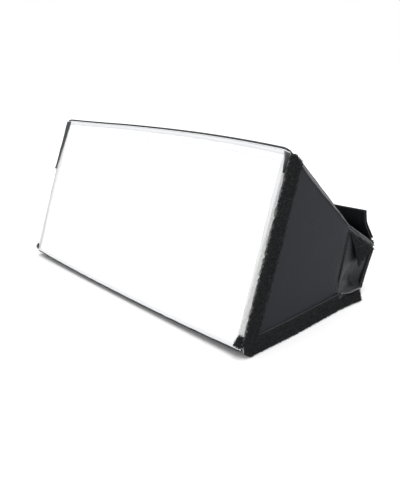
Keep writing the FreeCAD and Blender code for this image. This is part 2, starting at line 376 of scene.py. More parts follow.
def bead(path: Array, wide: Array, thick: Array, half_width: Array | float,
         half_thickness: Array | float, sides: int = 12, fullness: float = 2.0) -> Form:
    """Carry a rounded profile along a path and close both ends.

    The profile is a superellipse: the cosine and sine of the angle, each raised to two over
    the fullness, times the half width and the half thickness.

    Args:
        path: Points of the middle line, in metres.
        wide: Direction of the profile's width, one or one for each point.
        thick: Direction of the profile's thickness, one or one for each point.
        half_width: Half the width, in millimetres, one or one for each point.
        half_thickness: Half the thickness, in millimetres, one or one for each point.
        sides: Points round the profile.
        fullness: Two for an ellipse, more for a squarer profile.

    Returns:
        The closed form.
    """
    count = len(path)
    angle = np.linspace(0, 2 * math.pi, sides, endpoint=False)
    cos, sin = np.cos(angle), np.sin(angle)
    cos = np.sign(cos) * np.abs(cos) ** (2 / fullness)
    sin = np.sign(sin) * np.abs(sin) ** (2 / fullness)
    width = np.broadcast_to(half_width, count)[:, None] * cos
    depth = np.broadcast_to(half_thickness, count)[:, None] * sin
    wide = unit(np.broadcast_to(wide, (count, 3)))
    thick = unit(np.broadcast_to(thick, (count, 3)))
    points = path[:, None] + (width[..., None] * wide[:, None] + depth[..., None] * thick[:, None]) * MM
    run = np.concatenate([[0], np.cumsum(np.linalg.norm(np.diff(path, axis=0), axis=1))]) / MM
    flat = np.stack(np.broadcast_arrays(run[:, None], width), axis=-1).reshape(-1, 2)
    trim = np.broadcast_to(np.minimum(run, run[-1] - run)[:, None], (count, sides)).reshape(-1)
    ends = np.array([count * sides, count * sides + 1])
    spoke = np.arange(sides)
    after = (spoke + 1) % sides
    last = (count - 1) * sides
    caps = np.concatenate([
        np.stack([after, spoke, np.full(sides, ends[0])], axis=-1),
        np.stack([last + spoke, last + after, np.full(sides, ends[1])], axis=-1),
    ])
    return Form(
        np.concatenate([points.reshape(-1, 3), path[[0, -1]]]),
        ring_faces(count, sides),
        caps,
        np.concatenate([flat, [[0, 0], [run[-1], 0]]]),
        np.concatenate([trim, [0, 0]]),
    ).outward()


def roll(path: Array, out: Array | Sequence[float], half_width: Array | float,
         half_thickness: Array | float, sides: int = 12, fullness: float = 2.0) -> Form:
    """A bead whose thickness is along one way out, and whose width is square to it and the path.

    Args:
        path: Points of the middle line, in metres.
        out: The way out of the face that the bead lies on.
        half_width: As for a bead, and so are the rest.

    Returns:
        The closed form.
    """
    out = np.broadcast_to(out, path.shape)
    wide = np.cross(unit(np.gradient(path, axis=0)), out)
    return bead(path, wide, out, half_width, half_thickness, sides, fullness)


class Tuft(Enum):
    """Small shapes that are repeated over tape and along seams."""

    LOOP = "arched loop"
    HOOK = "straight stem with a curled tip"
    STITCH = "rounded stitch"

    def form(self) -> Form:
        """Make one, one unit tall or long: a tapered three-sided tube along its own curve.

        A loop's line is half a circle, a hook's line goes straight up and turns over in a
        quarter circle, and a stitch's line is straight and flat.
        """
        share = np.linspace(0, 1, 5)
        if self is Tuft.LOOP:
            angle = share * math.pi
            line = np.stack([-0.5 * np.cos(angle), 0 * angle, np.sin(angle)], axis=-1)
            radius = np.full(5, 0.16)
        elif self is Tuft.HOOK:
            line = np.stack([[0, 0, 0.05, 0.25, 0.45], [0] * 5, [-0.1, 0.5, 0.9, 1.0, 0.8]], axis=-1)
            radius = np.array([0.14, 0.12, 0.11, 0.1, 0.07])
        else:
            line = np.stack([share - 0.5, 0 * share, 0.35 * np.sin(share * math.pi) - 0.1], axis=-1)
            radius = np.array([0.25, 0.5, 0.55, 0.5, 0.25])
        along = unit(np.gradient(line, axis=0))
        sideways = np.array([0.0, 1.0, 0.0])
        return bead(line, sideways, np.cross(along, sideways), radius / MM, radius / MM, sides=3)


def scatter(kind: Tuft, origins: Array, axes: Array, seed: int) -> Form:
    """Repeat a small shape at many places.

    Each copy is the template's points times the copy's own three axes, plus its origin, and
    carries one random tone.

    Args:
        kind: The shape.
        origins: Where each copy stands, in metres.
        axes: The three scaled axes of each copy, as rows, in metres.
        seed: Seed of the tones.

    Returns:
        One form with every copy.
    """
    template = kind.form()
    count, size = len(origins), len(template.points)
    points = origins[:, None] + np.einsum("pk,nkc->npc", template.points, axes)
    starts = (np.arange(count) * size)[:, None, None]
    tone = np.random.default_rng(seed).uniform(0, 1, count)
    return Form(
        points.reshape(-1, 3),
        (template.quads[None] + starts).reshape(-1, 4),
        (template.triangles[None] + starts).reshape(-1, 3),
        np.tile(template.flat, (count, 1)),
        np.repeat(tone, size),
    )


@dataclass(frozen=True)
class Cut:
    """One cut piece of sheet material, lying on a surface over u and v from 0 to 1.

    Attributes:
        surface: Gives the row-frame point, in metres, at each u and v.
        width: Flat size along u, in millimetres.
        length: Flat size along v, in millimetres.
        facing: 1 if the outer face looks along the u direction crossed with the v direction.
    """

    surface: Surface
    width: float
    length: float
    facing: int = 1

    def normals(self, u: Array, v: Array) -> Array:
        """Directions square to the outer face, from differences over a small step."""
        across = self.surface(u + STEP, v) - self.surface(u - STEP, v)
        along = self.surface(u, v + STEP) - self.surface(u, v - STEP)
        return unit(np.cross(across, along)) * self.facing

    def shell(self, thickness: float, pitch: float = 2.5, lift: float = 0.0,
              rag: float = 0.0, seed: int = 1) -> Form:
        """Make the piece as a closed sheet: its outer face, an inner face and the edge between.

        The outer face is the surface on an even grid, moved out by the lift.  The inner face is
        the same grid moved in by the thickness.  A ragged edge comes from moving the two outer
        rows of the grid by a small random share of the size.

        Args:
            thickness: Thickness of the sheet, in millimetres.
            pitch: Spacing of the grid, in millimetres.
            lift: Distance of the outer face from the surface, in millimetres.
            rag: How far the edge wanders, in millimetres.
            seed: Seed of the ragged edge.

        Returns:
            The closed form.
        """
        rows = max(4, int(round(self.width / pitch)) + 1)
        columns = max(4, int(round(self.length / pitch)) + 1)
        u, v = np.meshgrid(np.linspace(0, 1, rows), np.linspace(0, 1, columns), indexing="ij")
        edge = np.minimum(np.minimum(u, 1 - u) * self.width, np.minimum(v, 1 - v) * self.length)
        if rag:
            draw = np.random.default_rng(seed)
            u = u + np.where((u == 0) | (u == 1), draw.normal(0, rag / self.width, u.shape), 0)
            v = v + np.where((v == 0) | (v == 1), draw.normal(0, rag / self.length, v.shape), 0)
        normals = self.normals(np.clip(u, BRINK, 1 - BRINK), np.clip(v, BRINK, 1 - BRINK))
        outer = self.surface(u, v) + normals * lift * MM
        inner = outer - normals * thickness * MM
        index = np.arange(rows * columns).reshape(rows, columns)
        face = np.stack([index[:-1, :-1], index[1:, :-1], index[1:, 1:], index[:-1, 1:]], axis=-1)
        face = face.reshape(-1, 4)
        rim = np.concatenate([index[:, 0], index[-1, 1:], index[-2::-1, -1], index[0, -2:0:-1]])
        after = np.roll(rim, -1)
        under = rows * columns
        walls = np.stack([rim, rim + under, after + under, after], axis=-1)
        flat = np.stack([u * self.width, v * self.length], axis=-1).reshape(-1, 2)
        return Form(
            np.concatenate([outer.reshape(-1, 3), inner.reshape(-1, 3)]),
            np.concatenate([face, face[:, ::-1] + under, walls]),
            np.zeros((0, 3), int),
            np.tile(flat, (2, 1)),
            np.tile(edge.reshape(-1), 2),
        ).outward()

    def turned(self) -> "Cut":
        """The same piece with its inner face as the outer one."""
        return Cut(self.surface, self.width, self.length, -self.facing)

    def pile(self, kind: Tuft, spacing: float, height: float, seed: int, lift: float = 0.0,
             spill: float = 0.35) -> Form:
        """Cover the outer face with small loops or hooks.

        The tufts stand on a jittered grid, lean at random and differ in height.  Those nearest
        an edge may spill over it a little, which makes the edge look ragged.

        Args:
            kind: Loops or hooks.
            spacing: Distance between tufts, in millimetres.
            height: Typical height of a tuft, in millimetres.
            seed: Seed of every random choice.
            lift: Height of the roots above the surface, in millimetres.
            spill: How far a tuft may stand outside the edge, in millimetres.

        Returns:
            One form with every tuft.
        """
        draw = np.random.default_rng(seed)
        rows, columns = int(self.width / spacing) + 1, int(self.length / spacing) + 1
        u, v = np.meshgrid(np.linspace(0, 1, rows), np.linspace(0, 1, columns), indexing="ij")
        jitter = spacing * 0.55
        u = (u + draw.uniform(-jitter, jitter, u.shape) / self.width).ravel()
        v = (v + draw.uniform(-jitter, jitter, v.shape) / self.length).ravel()
        u = np.clip(u, -spill / self.width, 1 + spill / self.width)
        v = np.clip(v, -spill / self.length, 1 + spill / self.length)
        count = len(u)
        out = self.normals(u, v)
        across = unit(self.surface(u + STEP, v) - self.surface(u - STEP, v))
        turn = draw.uniform(0, 2 * math.pi, count)[:, None]
        along = np.cross(out, across)
        first = across * np.cos(turn) + along * np.sin(turn)
        second = np.cross(out, first)
        lean = draw.normal(0, 0.35, (count, 2))
        upward = unit(out + first * lean[:, :1] + second * lean[:, 1:])
        tall = height * draw.uniform(0.65, 1.3, count)[:, None] * MM
        wide = height * draw.uniform(0.7, 1.2, count)[:, None] * MM
        axes = np.stack([first * wide, second * wide, upward * tall], axis=1)
        return scatter(kind, self.surface(u, v) + out * lift * MM, axes, seed + 1)

    def seam(self, u: Array, v: Array, seed: int, length: float = 2.4, gauge: float = 0.36,
             gap: float = 0.9, lift: float = 0.0) -> Form:
        """Sew a row of stitches along a line of u and v places.

        Args:
            u: The line's places along u.
            v: The line's places along v.
            seed: Seed of the stitches' small differences.
            length: Length of a stitch, in millimetres.
            gauge: Thickness of the thread, in millimetres.
            gap: Space between stitches, in millimetres.
            lift: Height above the surface, in millimetres.

        Returns:
            One form with every stitch.
        """
        u, v = np.broadcast_arrays(np.asarray(u, float), np.asarray(v, float))
        fine, stops = np.linspace(0, 1, 400), np.linspace(0, 1, u.size)
        u, v = np.interp(fine, stops, u), np.interp(fine, stops, v)
        line, out = self.surface(u, v), self.normals(u, v)
        run = np.concatenate([[0], np.cumsum(np.linalg.norm(np.diff(line, axis=0), axis=1))]) / MM
        count = max(2, int(run[-1] / (length + gap)))
        at = (np.arange(count) + 0.5) / count * run[-1]
        line, out, forward = (
            np.stack([np.interp(at, run, values[:, axis]) for axis in range(3)], axis=-1)
            for values in (line, out, np.gradient(line, axis=0))
        )
        out = unit(out)
        forward = unit(forward - out * (forward * out).sum(-1, keepdims=True))
        draw = np.random.default_rng(seed)
        forward = unit(forward + np.cross(out, forward) * draw.normal(0, 0.05, (count, 1)))
        axes = np.stack([forward * length, np.cross(out, forward) * gauge, out * gauge], axis=1) * MM
        return scatter(Tuft.STITCH, line + out * (lift * MM), axes, seed + 1)


    def rows(self, ends: tuple[float, float], stops: Sequence[float], seed: int,
             lift: float = 0.0, down: bool = False) -> list[Form]:
        """Sew straight rows between two ends, one at each stop, with seeds that count up.

        Args:
            ends: Where each row starts and ends, along u, or along v if down.
            stops: Where the rows lie, along the other way.
            seed: Seed of the first row.
            lift: Height above the surface, in millimetres.
            down: True for rows along v.

        Returns:
            The rows' forms.
        """
        lines = [(ends, (stop, stop)) for stop in stops]
        return [self.seam(*(line[::-1] if down else line), seed + n, lift=lift)
                for n, line in enumerate(lines)]


# ----------------------------------------
# Finishes
# ----------------------------------------


class Amount:
    """A number that varies over a surface: a node's output that takes arithmetic."""

    def __init__(self, recipe: "Recipe", socket: bpy.types.NodeSocket) -> None:
        """Keep the output and the recipe that it belongs to."""
        self.recipe = recipe
        self.socket = socket

    def maths(self, operation: str, *values: "Amount | float", clamp: bool = False) -> "Amount":
        """Add a Math node whose inputs are the given values, in order."""
        inputs = {index: value for index, value in enumerate(values)}
        return self.recipe.amount("ShaderNodeMath", {"operation": operation, "use_clamp": clamp}, inputs)

    def __add__(self, other: "Amount | float") -> "Amount":
        """Sum."""
        return self.maths("ADD", self, other)

    def __mul__(self, other: "Amount | float") -> "Amount":
        """Product."""
        return self.maths("MULTIPLY", self, other)

    def __sub__(self, other: "Amount | float") -> "Amount":
        """Difference."""
        return self.maths("SUBTRACT", self, other)

    def __rsub__(self, other: "Amount | float") -> "Amount":
        """Difference from a plain number."""
        return self.maths("SUBTRACT", other, self)

    def __truediv__(self, other: "Amount | float") -> "Amount":
        """Quotient."""
        return self.maths("DIVIDE", self, other)

    def sine(self) -> "Amount":
        """Sine, of an angle in radians."""
        return self.maths("SINE", self)

    def clamped(self) -> "Amount":
        """The value held between 0 and 1."""
        return self.maths("ADD", self, 0.0, clamp=True)


Color = tuple[float, float, float]


class Recipe:
    """The nodes of one material, round one Principled shader."""

    def __init__(self, name: str, constants: dict[str, float | tuple[float, ...]]) -> None:
        """Start a material.

        Args:
            name: Name of the material.
            constants: Values set on the shader's own sockets.
        """
        self.material = bpy.data.materials.new(name)
        self.material.use_nodes = True
        self.tree = self.material.node_tree
        self.tree.nodes.clear()
        self.shader = self.node("ShaderNodeBsdfPrincipled", {}, constants)
        self.node("ShaderNodeOutputMaterial", {}, {"Surface": self.shader.outputs[0]})

    def node(self, kind: str, settings: dict[str, object],
             inputs: dict[str | int, object]) -> bpy.types.Node:
        """Add any node.

        Args:
            kind: The node's type.
            settings: What is set on the node before its inputs.
            inputs: Values or links for its input sockets, by name or index.

        Returns:
            The new node.
        """
        made = self.tree.nodes.new(kind)
        for key, value in settings.items():
            setattr(made, key, value)
        for key, value in inputs.items():
            value = value.socket if isinstance(value, Amount) else value
            if isinstance(value, bpy.types.NodeSocket):
                self.tree.links.new(value, made.inputs[key])
            else:
                made.inputs[key].default_value = value
        return made

    def amount(self, kind: str, settings: dict[str, object], inputs: dict[str | int, object],
               output: str | int = 0) -> Amount:
        """Add a node and take one output as a number."""
        return Amount(self, self.node(kind, settings, inputs).outputs[output])

    def place(self) -> bpy.types.NodeSocket:
        """The point on the piece, in metres."""
        return self.node("ShaderNodeTexCoord", {}, {}).outputs["Object"]

    def flat(self) -> bpy.types.NodeSocket:
        """The point on the piece's flat map, in millimetres."""
        return self.node("ShaderNodeUVMap", {"uv_map": "flat"}, {}).outputs[0]

    def trim(self) -> Amount:
        """The piece's trim value."""
        return self.amount("ShaderNodeAttribute", {"attribute_name": "trim"}, {}, "Fac")

    def noise(self, scale: float, detail: float = 3.0, roughness: float = 0.55,
              stretch: tuple[float, float, float] = (1.0, 1.0, 1.0)) -> Amount:
        """Cloudy noise on the point, about 0.5 in the middle, with so many lumps a metre."""
        scaled = self.node("ShaderNodeMapping", {}, {"Vector": self.place(), "Scale": stretch})
        inputs = {"Vector": scaled.outputs[0], "Scale": scale, "Detail": detail, "Roughness": roughness}
        return self.amount("ShaderNodeTexNoise", {}, inputs)

    def cells(self, scale: float) -> Amount:
        """Distance to the nearest of many random points, so many a metre."""
        return self.amount("ShaderNodeTexVoronoi", {}, {"Vector": self.place(), "Scale": scale}, "Distance")

    def weave(self, pitch: float) -> Amount:
        """Height of a plain weave on the flat map: the product of two sines, one each way."""
        split = self.node("ShaderNodeSeparateXYZ", {}, {"Vector": self.flat()})
        over = (Amount(self, split.outputs[0]) * (math.pi / pitch)).sine()
        under = (Amount(self, split.outputs[1]) * (math.pi / pitch)).sine()
        return over * under * 0.5 + 0.5

    def blend(self, share: Amount, first: Color | bpy.types.NodeSocket,
              second: Color | bpy.types.NodeSocket) -> bpy.types.NodeSocket:
        """Mix two colours by a share from 0 to 1."""
        inputs = {0: share.clamped()}
        for index, color in ((6, first), (7, second)):
            inputs[index] = (*color, 1.0) if isinstance(color, tuple) else color
        return self.node("ShaderNodeMix", {"data_type": "RGBA"}, inputs).outputs[2]

    def bump(self, height: Amount, distance: float, strength: float = 1.0,
             under: bpy.types.NodeSocket | None = None) -> bpy.types.NodeSocket:
        """Bend the normal by a height, whose full range is a distance in millimetres."""
        inputs = {"Height": height, "Distance": distance * MM, "Strength": strength}
        if under is not None:
            inputs["Normal"] = under
        return self.node("ShaderNodeBump", {}, inputs).outputs[0]

    def finish(self, **inputs: object) -> bpy.types.Material:
        """Link what varies to the shader: color, roughness and normal."""
        names = {"color": "Base Color", "roughness": "Roughness", "normal": "Normal"}
        for key, value in inputs.items():
            socket = value.socket if isinstance(value, Amount) else value
            self.tree.links.new(socket, self.shader.inputs[names[key]])
        return self.material


@dataclass(frozen=True)
class Vinyl:
    """Coated sheet: a grain or a woven look, soft blotches, and edges of another colour: pale rubbed edges
    on most finishes, painted shade along the seams on the satin one.
    """

    name: str
    color: Color
    lighter: Color
    edge: Color
    roughness: float = 0.5
    pitch: float = 0.8
    weave_depth: float = 0.05
    grain: float = 900.0
    grain_depth: float = 0.08
    crease: float = 0.0
    gloss: float = 0.25
    coat: float = 0.0
    wear_and_shade_reach: float = 1.1

    def make(self) -> bpy.types.Material:
        """Build the material.

        The colour runs between two tones with large blotches, and turns to the edge colour near an
        edge: paler rubbing within a millimetre on most finishes, and on the satin finish a darker
        painted shade reaching seven millimetres in along its seams.  Two noises change the roughness.
        Three heights bump it: soft creases, the leather grain and the weave.
        """
        recipe = Recipe(self.name, {"Coat Weight": self.coat, "Coat Roughness": 0.22,
                                    "Specular IOR Level": self.gloss})
        blotch = recipe.noise(28.0, 4.0)
        speck = recipe.noise(700.0, 2.0)
        weave = recipe.weave(self.pitch)
        grain = recipe.cells(self.grain)
        tone = (blotch - 0.5) * 1.6 + (speck - 0.5) * 0.5 + (weave - 0.5) * 0.35 + 0.5
        color = recipe.blend(tone, self.color, self.lighter)
        # Near an edge the colour turns to the edge colour: paler rubbing on most finishes, painted shade
        # along the seams on the satin one.
        wear_and_shade = (1.0 - recipe.trim() / self.wear_and_shade_reach).clamped() * recipe.noise(180.0, 2.0).clamped()
        color = recipe.blend(wear_and_shade * 1.1, color, self.edge)
        normal = recipe.bump(recipe.noise(60.0, 3.0, 0.5, (1.0, 1.0, 0.45)), 1.2, self.crease)
        normal = recipe.bump(grain, self.grain_depth, 0.7, normal)
        normal = recipe.bump(weave, self.weave_depth, 0.8, normal)
        rough = (blotch - 0.5) * 0.25 + (speck - 0.5) * 0.2 + self.roughness
        return recipe.finish(color=color, roughness=rough.clamped(), normal=normal)


@dataclass(frozen=True)
class Cloth:
    """Woven cloth: threads both ways, slubs, and edges that soil a little."""

    name: str
    color: Color
    shade: Color
    pitch: float = 0.42
    roughness: float = 0.72
    depth: float = 0.05
    sheen: float = 0.15

    def make(self) -> bpy.types.Material:
        """Build the material.

        The colour runs between two close tones with clouds, slubs stretched along the threads
        and the weave itself.  The weave and the slubs bump it.
        """
        recipe = Recipe(self.name, {"Sheen Weight": self.sheen, "Sheen Roughness": 0.4,
                                    "Specular IOR Level": 0.3})
        weave = recipe.weave(self.pitch)
        slub = recipe.noise(420.0, 2.0, 0.5, (0.15, 1.0, 1.0)) * 0.5 + recipe.noise(
            420.0, 2.0, 0.5, (1.0, 1.0, 0.15)) * 0.5
        cloud = recipe.noise(22.0, 3.0)
        soil = (1.0 - recipe.trim() / 2.5).clamped() * 0.55
        share = (cloud - 0.5) * 1.2 + (slub - 0.5) * 0.8 + (0.5 - weave) * 0.5 + 0.35 + soil
        color = recipe.blend(share, self.color, self.shade)
        normal = recipe.bump(slub, 0.06, 0.5)
        normal = recipe.bump(weave, self.depth, 0.7, normal)
        rough = (slub - 0.5) * 0.3 + (weave - 0.5) * 0.1 + self.roughness
        return recipe.finish(color=color, roughness=rough.clamped(), normal=normal)


@dataclass(frozen=True)
class Fibre:
    """Fibres, loops, hooks and thread: each copy has its own tone."""

    name: str
    color: Color
    lighter: Color
    roughness: float = 0.6
    sheen: float = 0.2

    def make(self) -> bpy.types.Material:
        """Build the material: tone by copy, with fine streaks in colour, roughness and bump."""
        recipe = Recipe(self.name, {"Sheen Weight": self.sheen, "Sheen Roughness": 0.5,
                                    "Specular IOR Level": 0.15})
        streak = recipe.noise(1600.0, 2.0)
        share = recipe.trim() * 0.75 + (streak - 0.5) * 0.9 + recipe.noise(90.0, 2.0) * 0.2
        color = recipe.blend(share, self.color, self.lighter)
        rough = (streak - 0.5) * 0.3 + self.roughness
        normal = recipe.bump(streak, 0.05, 0.6)
        return recipe.finish(color=color, roughness=rough.clamped(), normal=normal)


@dataclass(frozen=True)
class Board:
    """Sheet plastic stiffener: faint rolling lines and scuffs."""

    name: str
    color: Color
    lighter: Color

    def make(self) -> bpy.types.Material:
        """Build the material: streaks one way, with scuffs in the roughness."""
        recipe = Recipe(self.name, {"Specular IOR Level": 0.45})
        streak = recipe.noise(260.0, 3.0, 0.6, (0.05, 1.0, 1.0))
        scuff = recipe.noise(900.0, 2.0)
        color = recipe.blend((streak - 0.5) * 1.4 + 0.5, self.color, self.lighter)
        rough = (scuff - 0.5) * 0.4 + 0.5
        normal = recipe.bump(streak, 0.05, 0.5)
        return recipe.finish(color=color, roughness=rough.clamped(), normal=normal)


@dataclass(frozen=True)
class Paper:
    """Seamless pale paper for the floor."""

    name: str
    color: Color
    shade: Color

    def make(self) -> bpy.types.Material:
        """Build the material: two close tones and a faint tooth."""
        recipe = Recipe(self.name, {"Specular IOR Level": 0.1})
        tooth = recipe.noise(900.0, 2.0)
        color = recipe.blend((tooth - 0.5) * 0.6 + 0.4, self.color, self.shade)
        normal = recipe.bump(tooth, 0.03, 0.3)
        return recipe.finish(color=color, roughness=tooth * 0.1 + 0.85, normal=normal)


class Finish(Enum):
    """Every finish on the softbox, each with the record's material slot that it belongs to."""

    COVER = (Vinyl("matt_vinyl", (0.008, 0.0085, 0.0115), (0.014, 0.015, 0.0195), (0.022, 0.023, 0.028),
                   roughness=0.55, crease=0.12, gloss=0.13), "vinyl")
    # The satin finish's edge colour is darker than its body and reaches 7 mm in: painted shade along the
    # seams and creases of the pleated end.
    SATIN = (Vinyl("satin_vinyl", (0.003, 0.004, 0.0055), (0.008, 0.0102, 0.0132), (0.001, 0.0012, 0.0014),
                   roughness=0.4, grain=1500.0, grain_depth=0.03, weave_depth=0.03, pitch=0.5,
                   crease=0.25, gloss=0.2, wear_and_shade_reach=7.0), "soft_vinyl")
    FLAP = (Vinyl("flap_vinyl", (0.007, 0.0075, 0.0085), (0.013, 0.014, 0.016), (0.02, 0.022, 0.024),
                  roughness=0.5, grain=1200.0, grain_depth=0.04, crease=0.25, gloss=0.12), "soft_vinyl")
    # On the slanted side edge this grey-purple is far lighter than the black vinyl of the rolled edge:
    # partly painted highlight, with the coat adding real gloss.
    BINDING = (Vinyl("gloss_binding_painted_highlight", (0.045, 0.044, 0.052), (0.11, 0.107, 0.122), (0.2, 0.195, 0.215),
                     roughness=0.3, grain=700.0, grain_depth=0.05, pitch=1.2, crease=0.3,
                     coat=0.4), "binding")
    EDGE = (Vinyl("front_edge_vinyl", (0.018, 0.021, 0.026), (0.038, 0.042, 0.05), (0.07, 0.075, 0.085),
                  roughness=0.4, grain=1000.0, crease=0.2, coat=0.12), "binding")
    TAB = (Vinyl("tab_vinyl", (0.008, 0.010, 0.011), (0.035, 0.042, 0.043), (0.12, 0.13, 0.13),
                 roughness=0.28, grain=600.0, grain_depth=0.05, crease=0.6, coat=0.6), "binding")
    BOARD = (Board("stiffener_board", (0.10, 0.10, 0.105), (0.15, 0.15, 0.155)), "stiffener")
    LINING = (Cloth("white_lining", (0.86, 0.87, 0.88), (0.74, 0.75, 0.78), roughness=0.5), "white_lining")
    DIFFUSER = (Cloth("diffuser_cloth", (0.73, 0.73, 0.73), (0.69, 0.69, 0.695), depth=0.03,
                      sheen=0.05), "diffuser_cloth")
    HEM = (Cloth("hem_cloth", (0.53, 0.545, 0.57), (0.45, 0.465, 0.49), pitch=0.5), "hem_cloth")
    ROLL = (Cloth("rolled_hem", (0.71, 0.715, 0.725), (0.65, 0.655, 0.665), pitch=0.5), "hem_cloth")
    WHITE_TAPE = (Cloth("white_tape", (0.66, 0.66, 0.65), (0.56, 0.56, 0.56), pitch=0.9,
                        depth=0.15), "white_hook")
    WHITE_HOOKS = (Fibre("white_hooks", (0.62, 0.62, 0.61), (0.78, 0.78, 0.77)), "white_hook")
    TAPE = (Cloth("black_tape", (0.004, 0.004, 0.005), (0.009, 0.009, 0.010), pitch=0.9,
                  depth=0.15, sheen=0.03), "loop_tape")
    LOOPS = (Fibre("black_loops", (0.003, 0.0035, 0.004), (0.022, 0.024, 0.027), sheen=0.08), "loop_tape")
    HOOKS = (Fibre("black_hooks", (0.005, 0.005, 0.006), (0.02, 0.02, 0.022), sheen=0.05), "hook_tape")
    THREAD = (Fibre("black_thread", (0.008, 0.009, 0.010), (0.025, 0.026, 0.029), 0.5, 0.05), "vinyl")
    WHITE_THREAD = (Fibre("white_thread", (0.78, 0.78, 0.79), (0.9, 0.9, 0.9), 0.5), "hem_cloth")

    @property
    def slot(self) -> str:
        """The record's material slot."""
        return self.value[1]

    def material(self) -> bpy.types.Material:
        """The material, made the first time that it is asked for."""
        maker = self.value[0]
        return bpy.data.materials.get(maker.name) or maker.make()


# ----------------------------------------
# Sub-assemblies
# ----------------------------------------


@dataclass
class Assembly:
    """A sub-assembly: works out its pieces, dresses them and hands them to the frame."""

    wedge: Wedge = field(default_factory=Wedge)

    def put(self, name: str, form: Form, finish: Finish, body: str, replaces: Sequence[str] = (),
            onto: str | None = None, hinge: tuple[Array, Array] | None = None,
            crease: float = 50.0) -> bpy.types.Object:
        """Make one piece from its form.

        Args:
            name: Name of the piece.
            form: Its closed form.
            finish: Its finish.
            body: The body that it rides on.
            replaces: The CAD nodes that it stands for.
            onto: A second body; when one is given, the piece stays at its place in the row frame, attached
                to no body.
            hinge: Not used.
            crease: Angle above which an edge is sharp, in degrees.

        Returns:
            The finished piece.
        """
        piece = form.build(name, crease)
        piece.data.materials.append(finish.material())
        if onto is None:
            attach(piece, body)
        else:
            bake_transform(piece)
        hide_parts(*replaces)
        LOG.info("%s: %d faces on %s", name, len(piece.data.polygons), body)
        return piece

    def sew(self, name: str, rows: Sequence[Form], finish: Finish, body: str) -> bpy.types.Object:
        """Make one piece from rows of stitches."""
        return self.put(name, rows[0].joined(*rows[1:]), finish, body)

    def tape(self, name: str, cut: Cut, hooks: bool, body: str, replaces: Sequence[str] = (),
             white: bool = False, thickness: float = 0.5, height: float = 0.9,
             spacing: float = 1.0, seed: int = 1, rag: float = 0.25) -> None:
        """Make a strip of hook or loop tape: a woven back with a ragged edge, and its pile.

        Args:
            name: Name of the backing; the pile's name is longer.
            cut: The outer face of the backing.
            hooks: True for hooks, False for loops.
            body: The body that it rides on.
            replaces: The CAD nodes that the backing stands for.
            white: True for white tape.
            thickness: Thickness of the backing, in millimetres.
            height: Height of the pile, in millimetres.
            spacing: Distance between tufts, in millimetres.
            seed: Seed of the pile.
            rag: How far the backing's edge wanders, in millimetres.
        """
        backing = Finish.WHITE_TAPE if white else Finish.TAPE
        fibre = Finish.WHITE_HOOKS if white else (Finish.HOOKS if hooks else Finish.LOOPS)
        self.put(name, cut.shell(thickness, 1.5, rag=rag, seed=seed), backing, body, replaces)
        pile = cut.pile(Tuft.HOOK if hooks else Tuft.LOOP, spacing, height, seed + 7)
        self.put(f"{name}_pile", pile, fibre, body, crease=80.0)


class Edge(Enum):
    """The two sloping panels, with the sign of the way out and their body."""

    TOP = (1, "top")
    BOTTOM = (-1, "bottom")


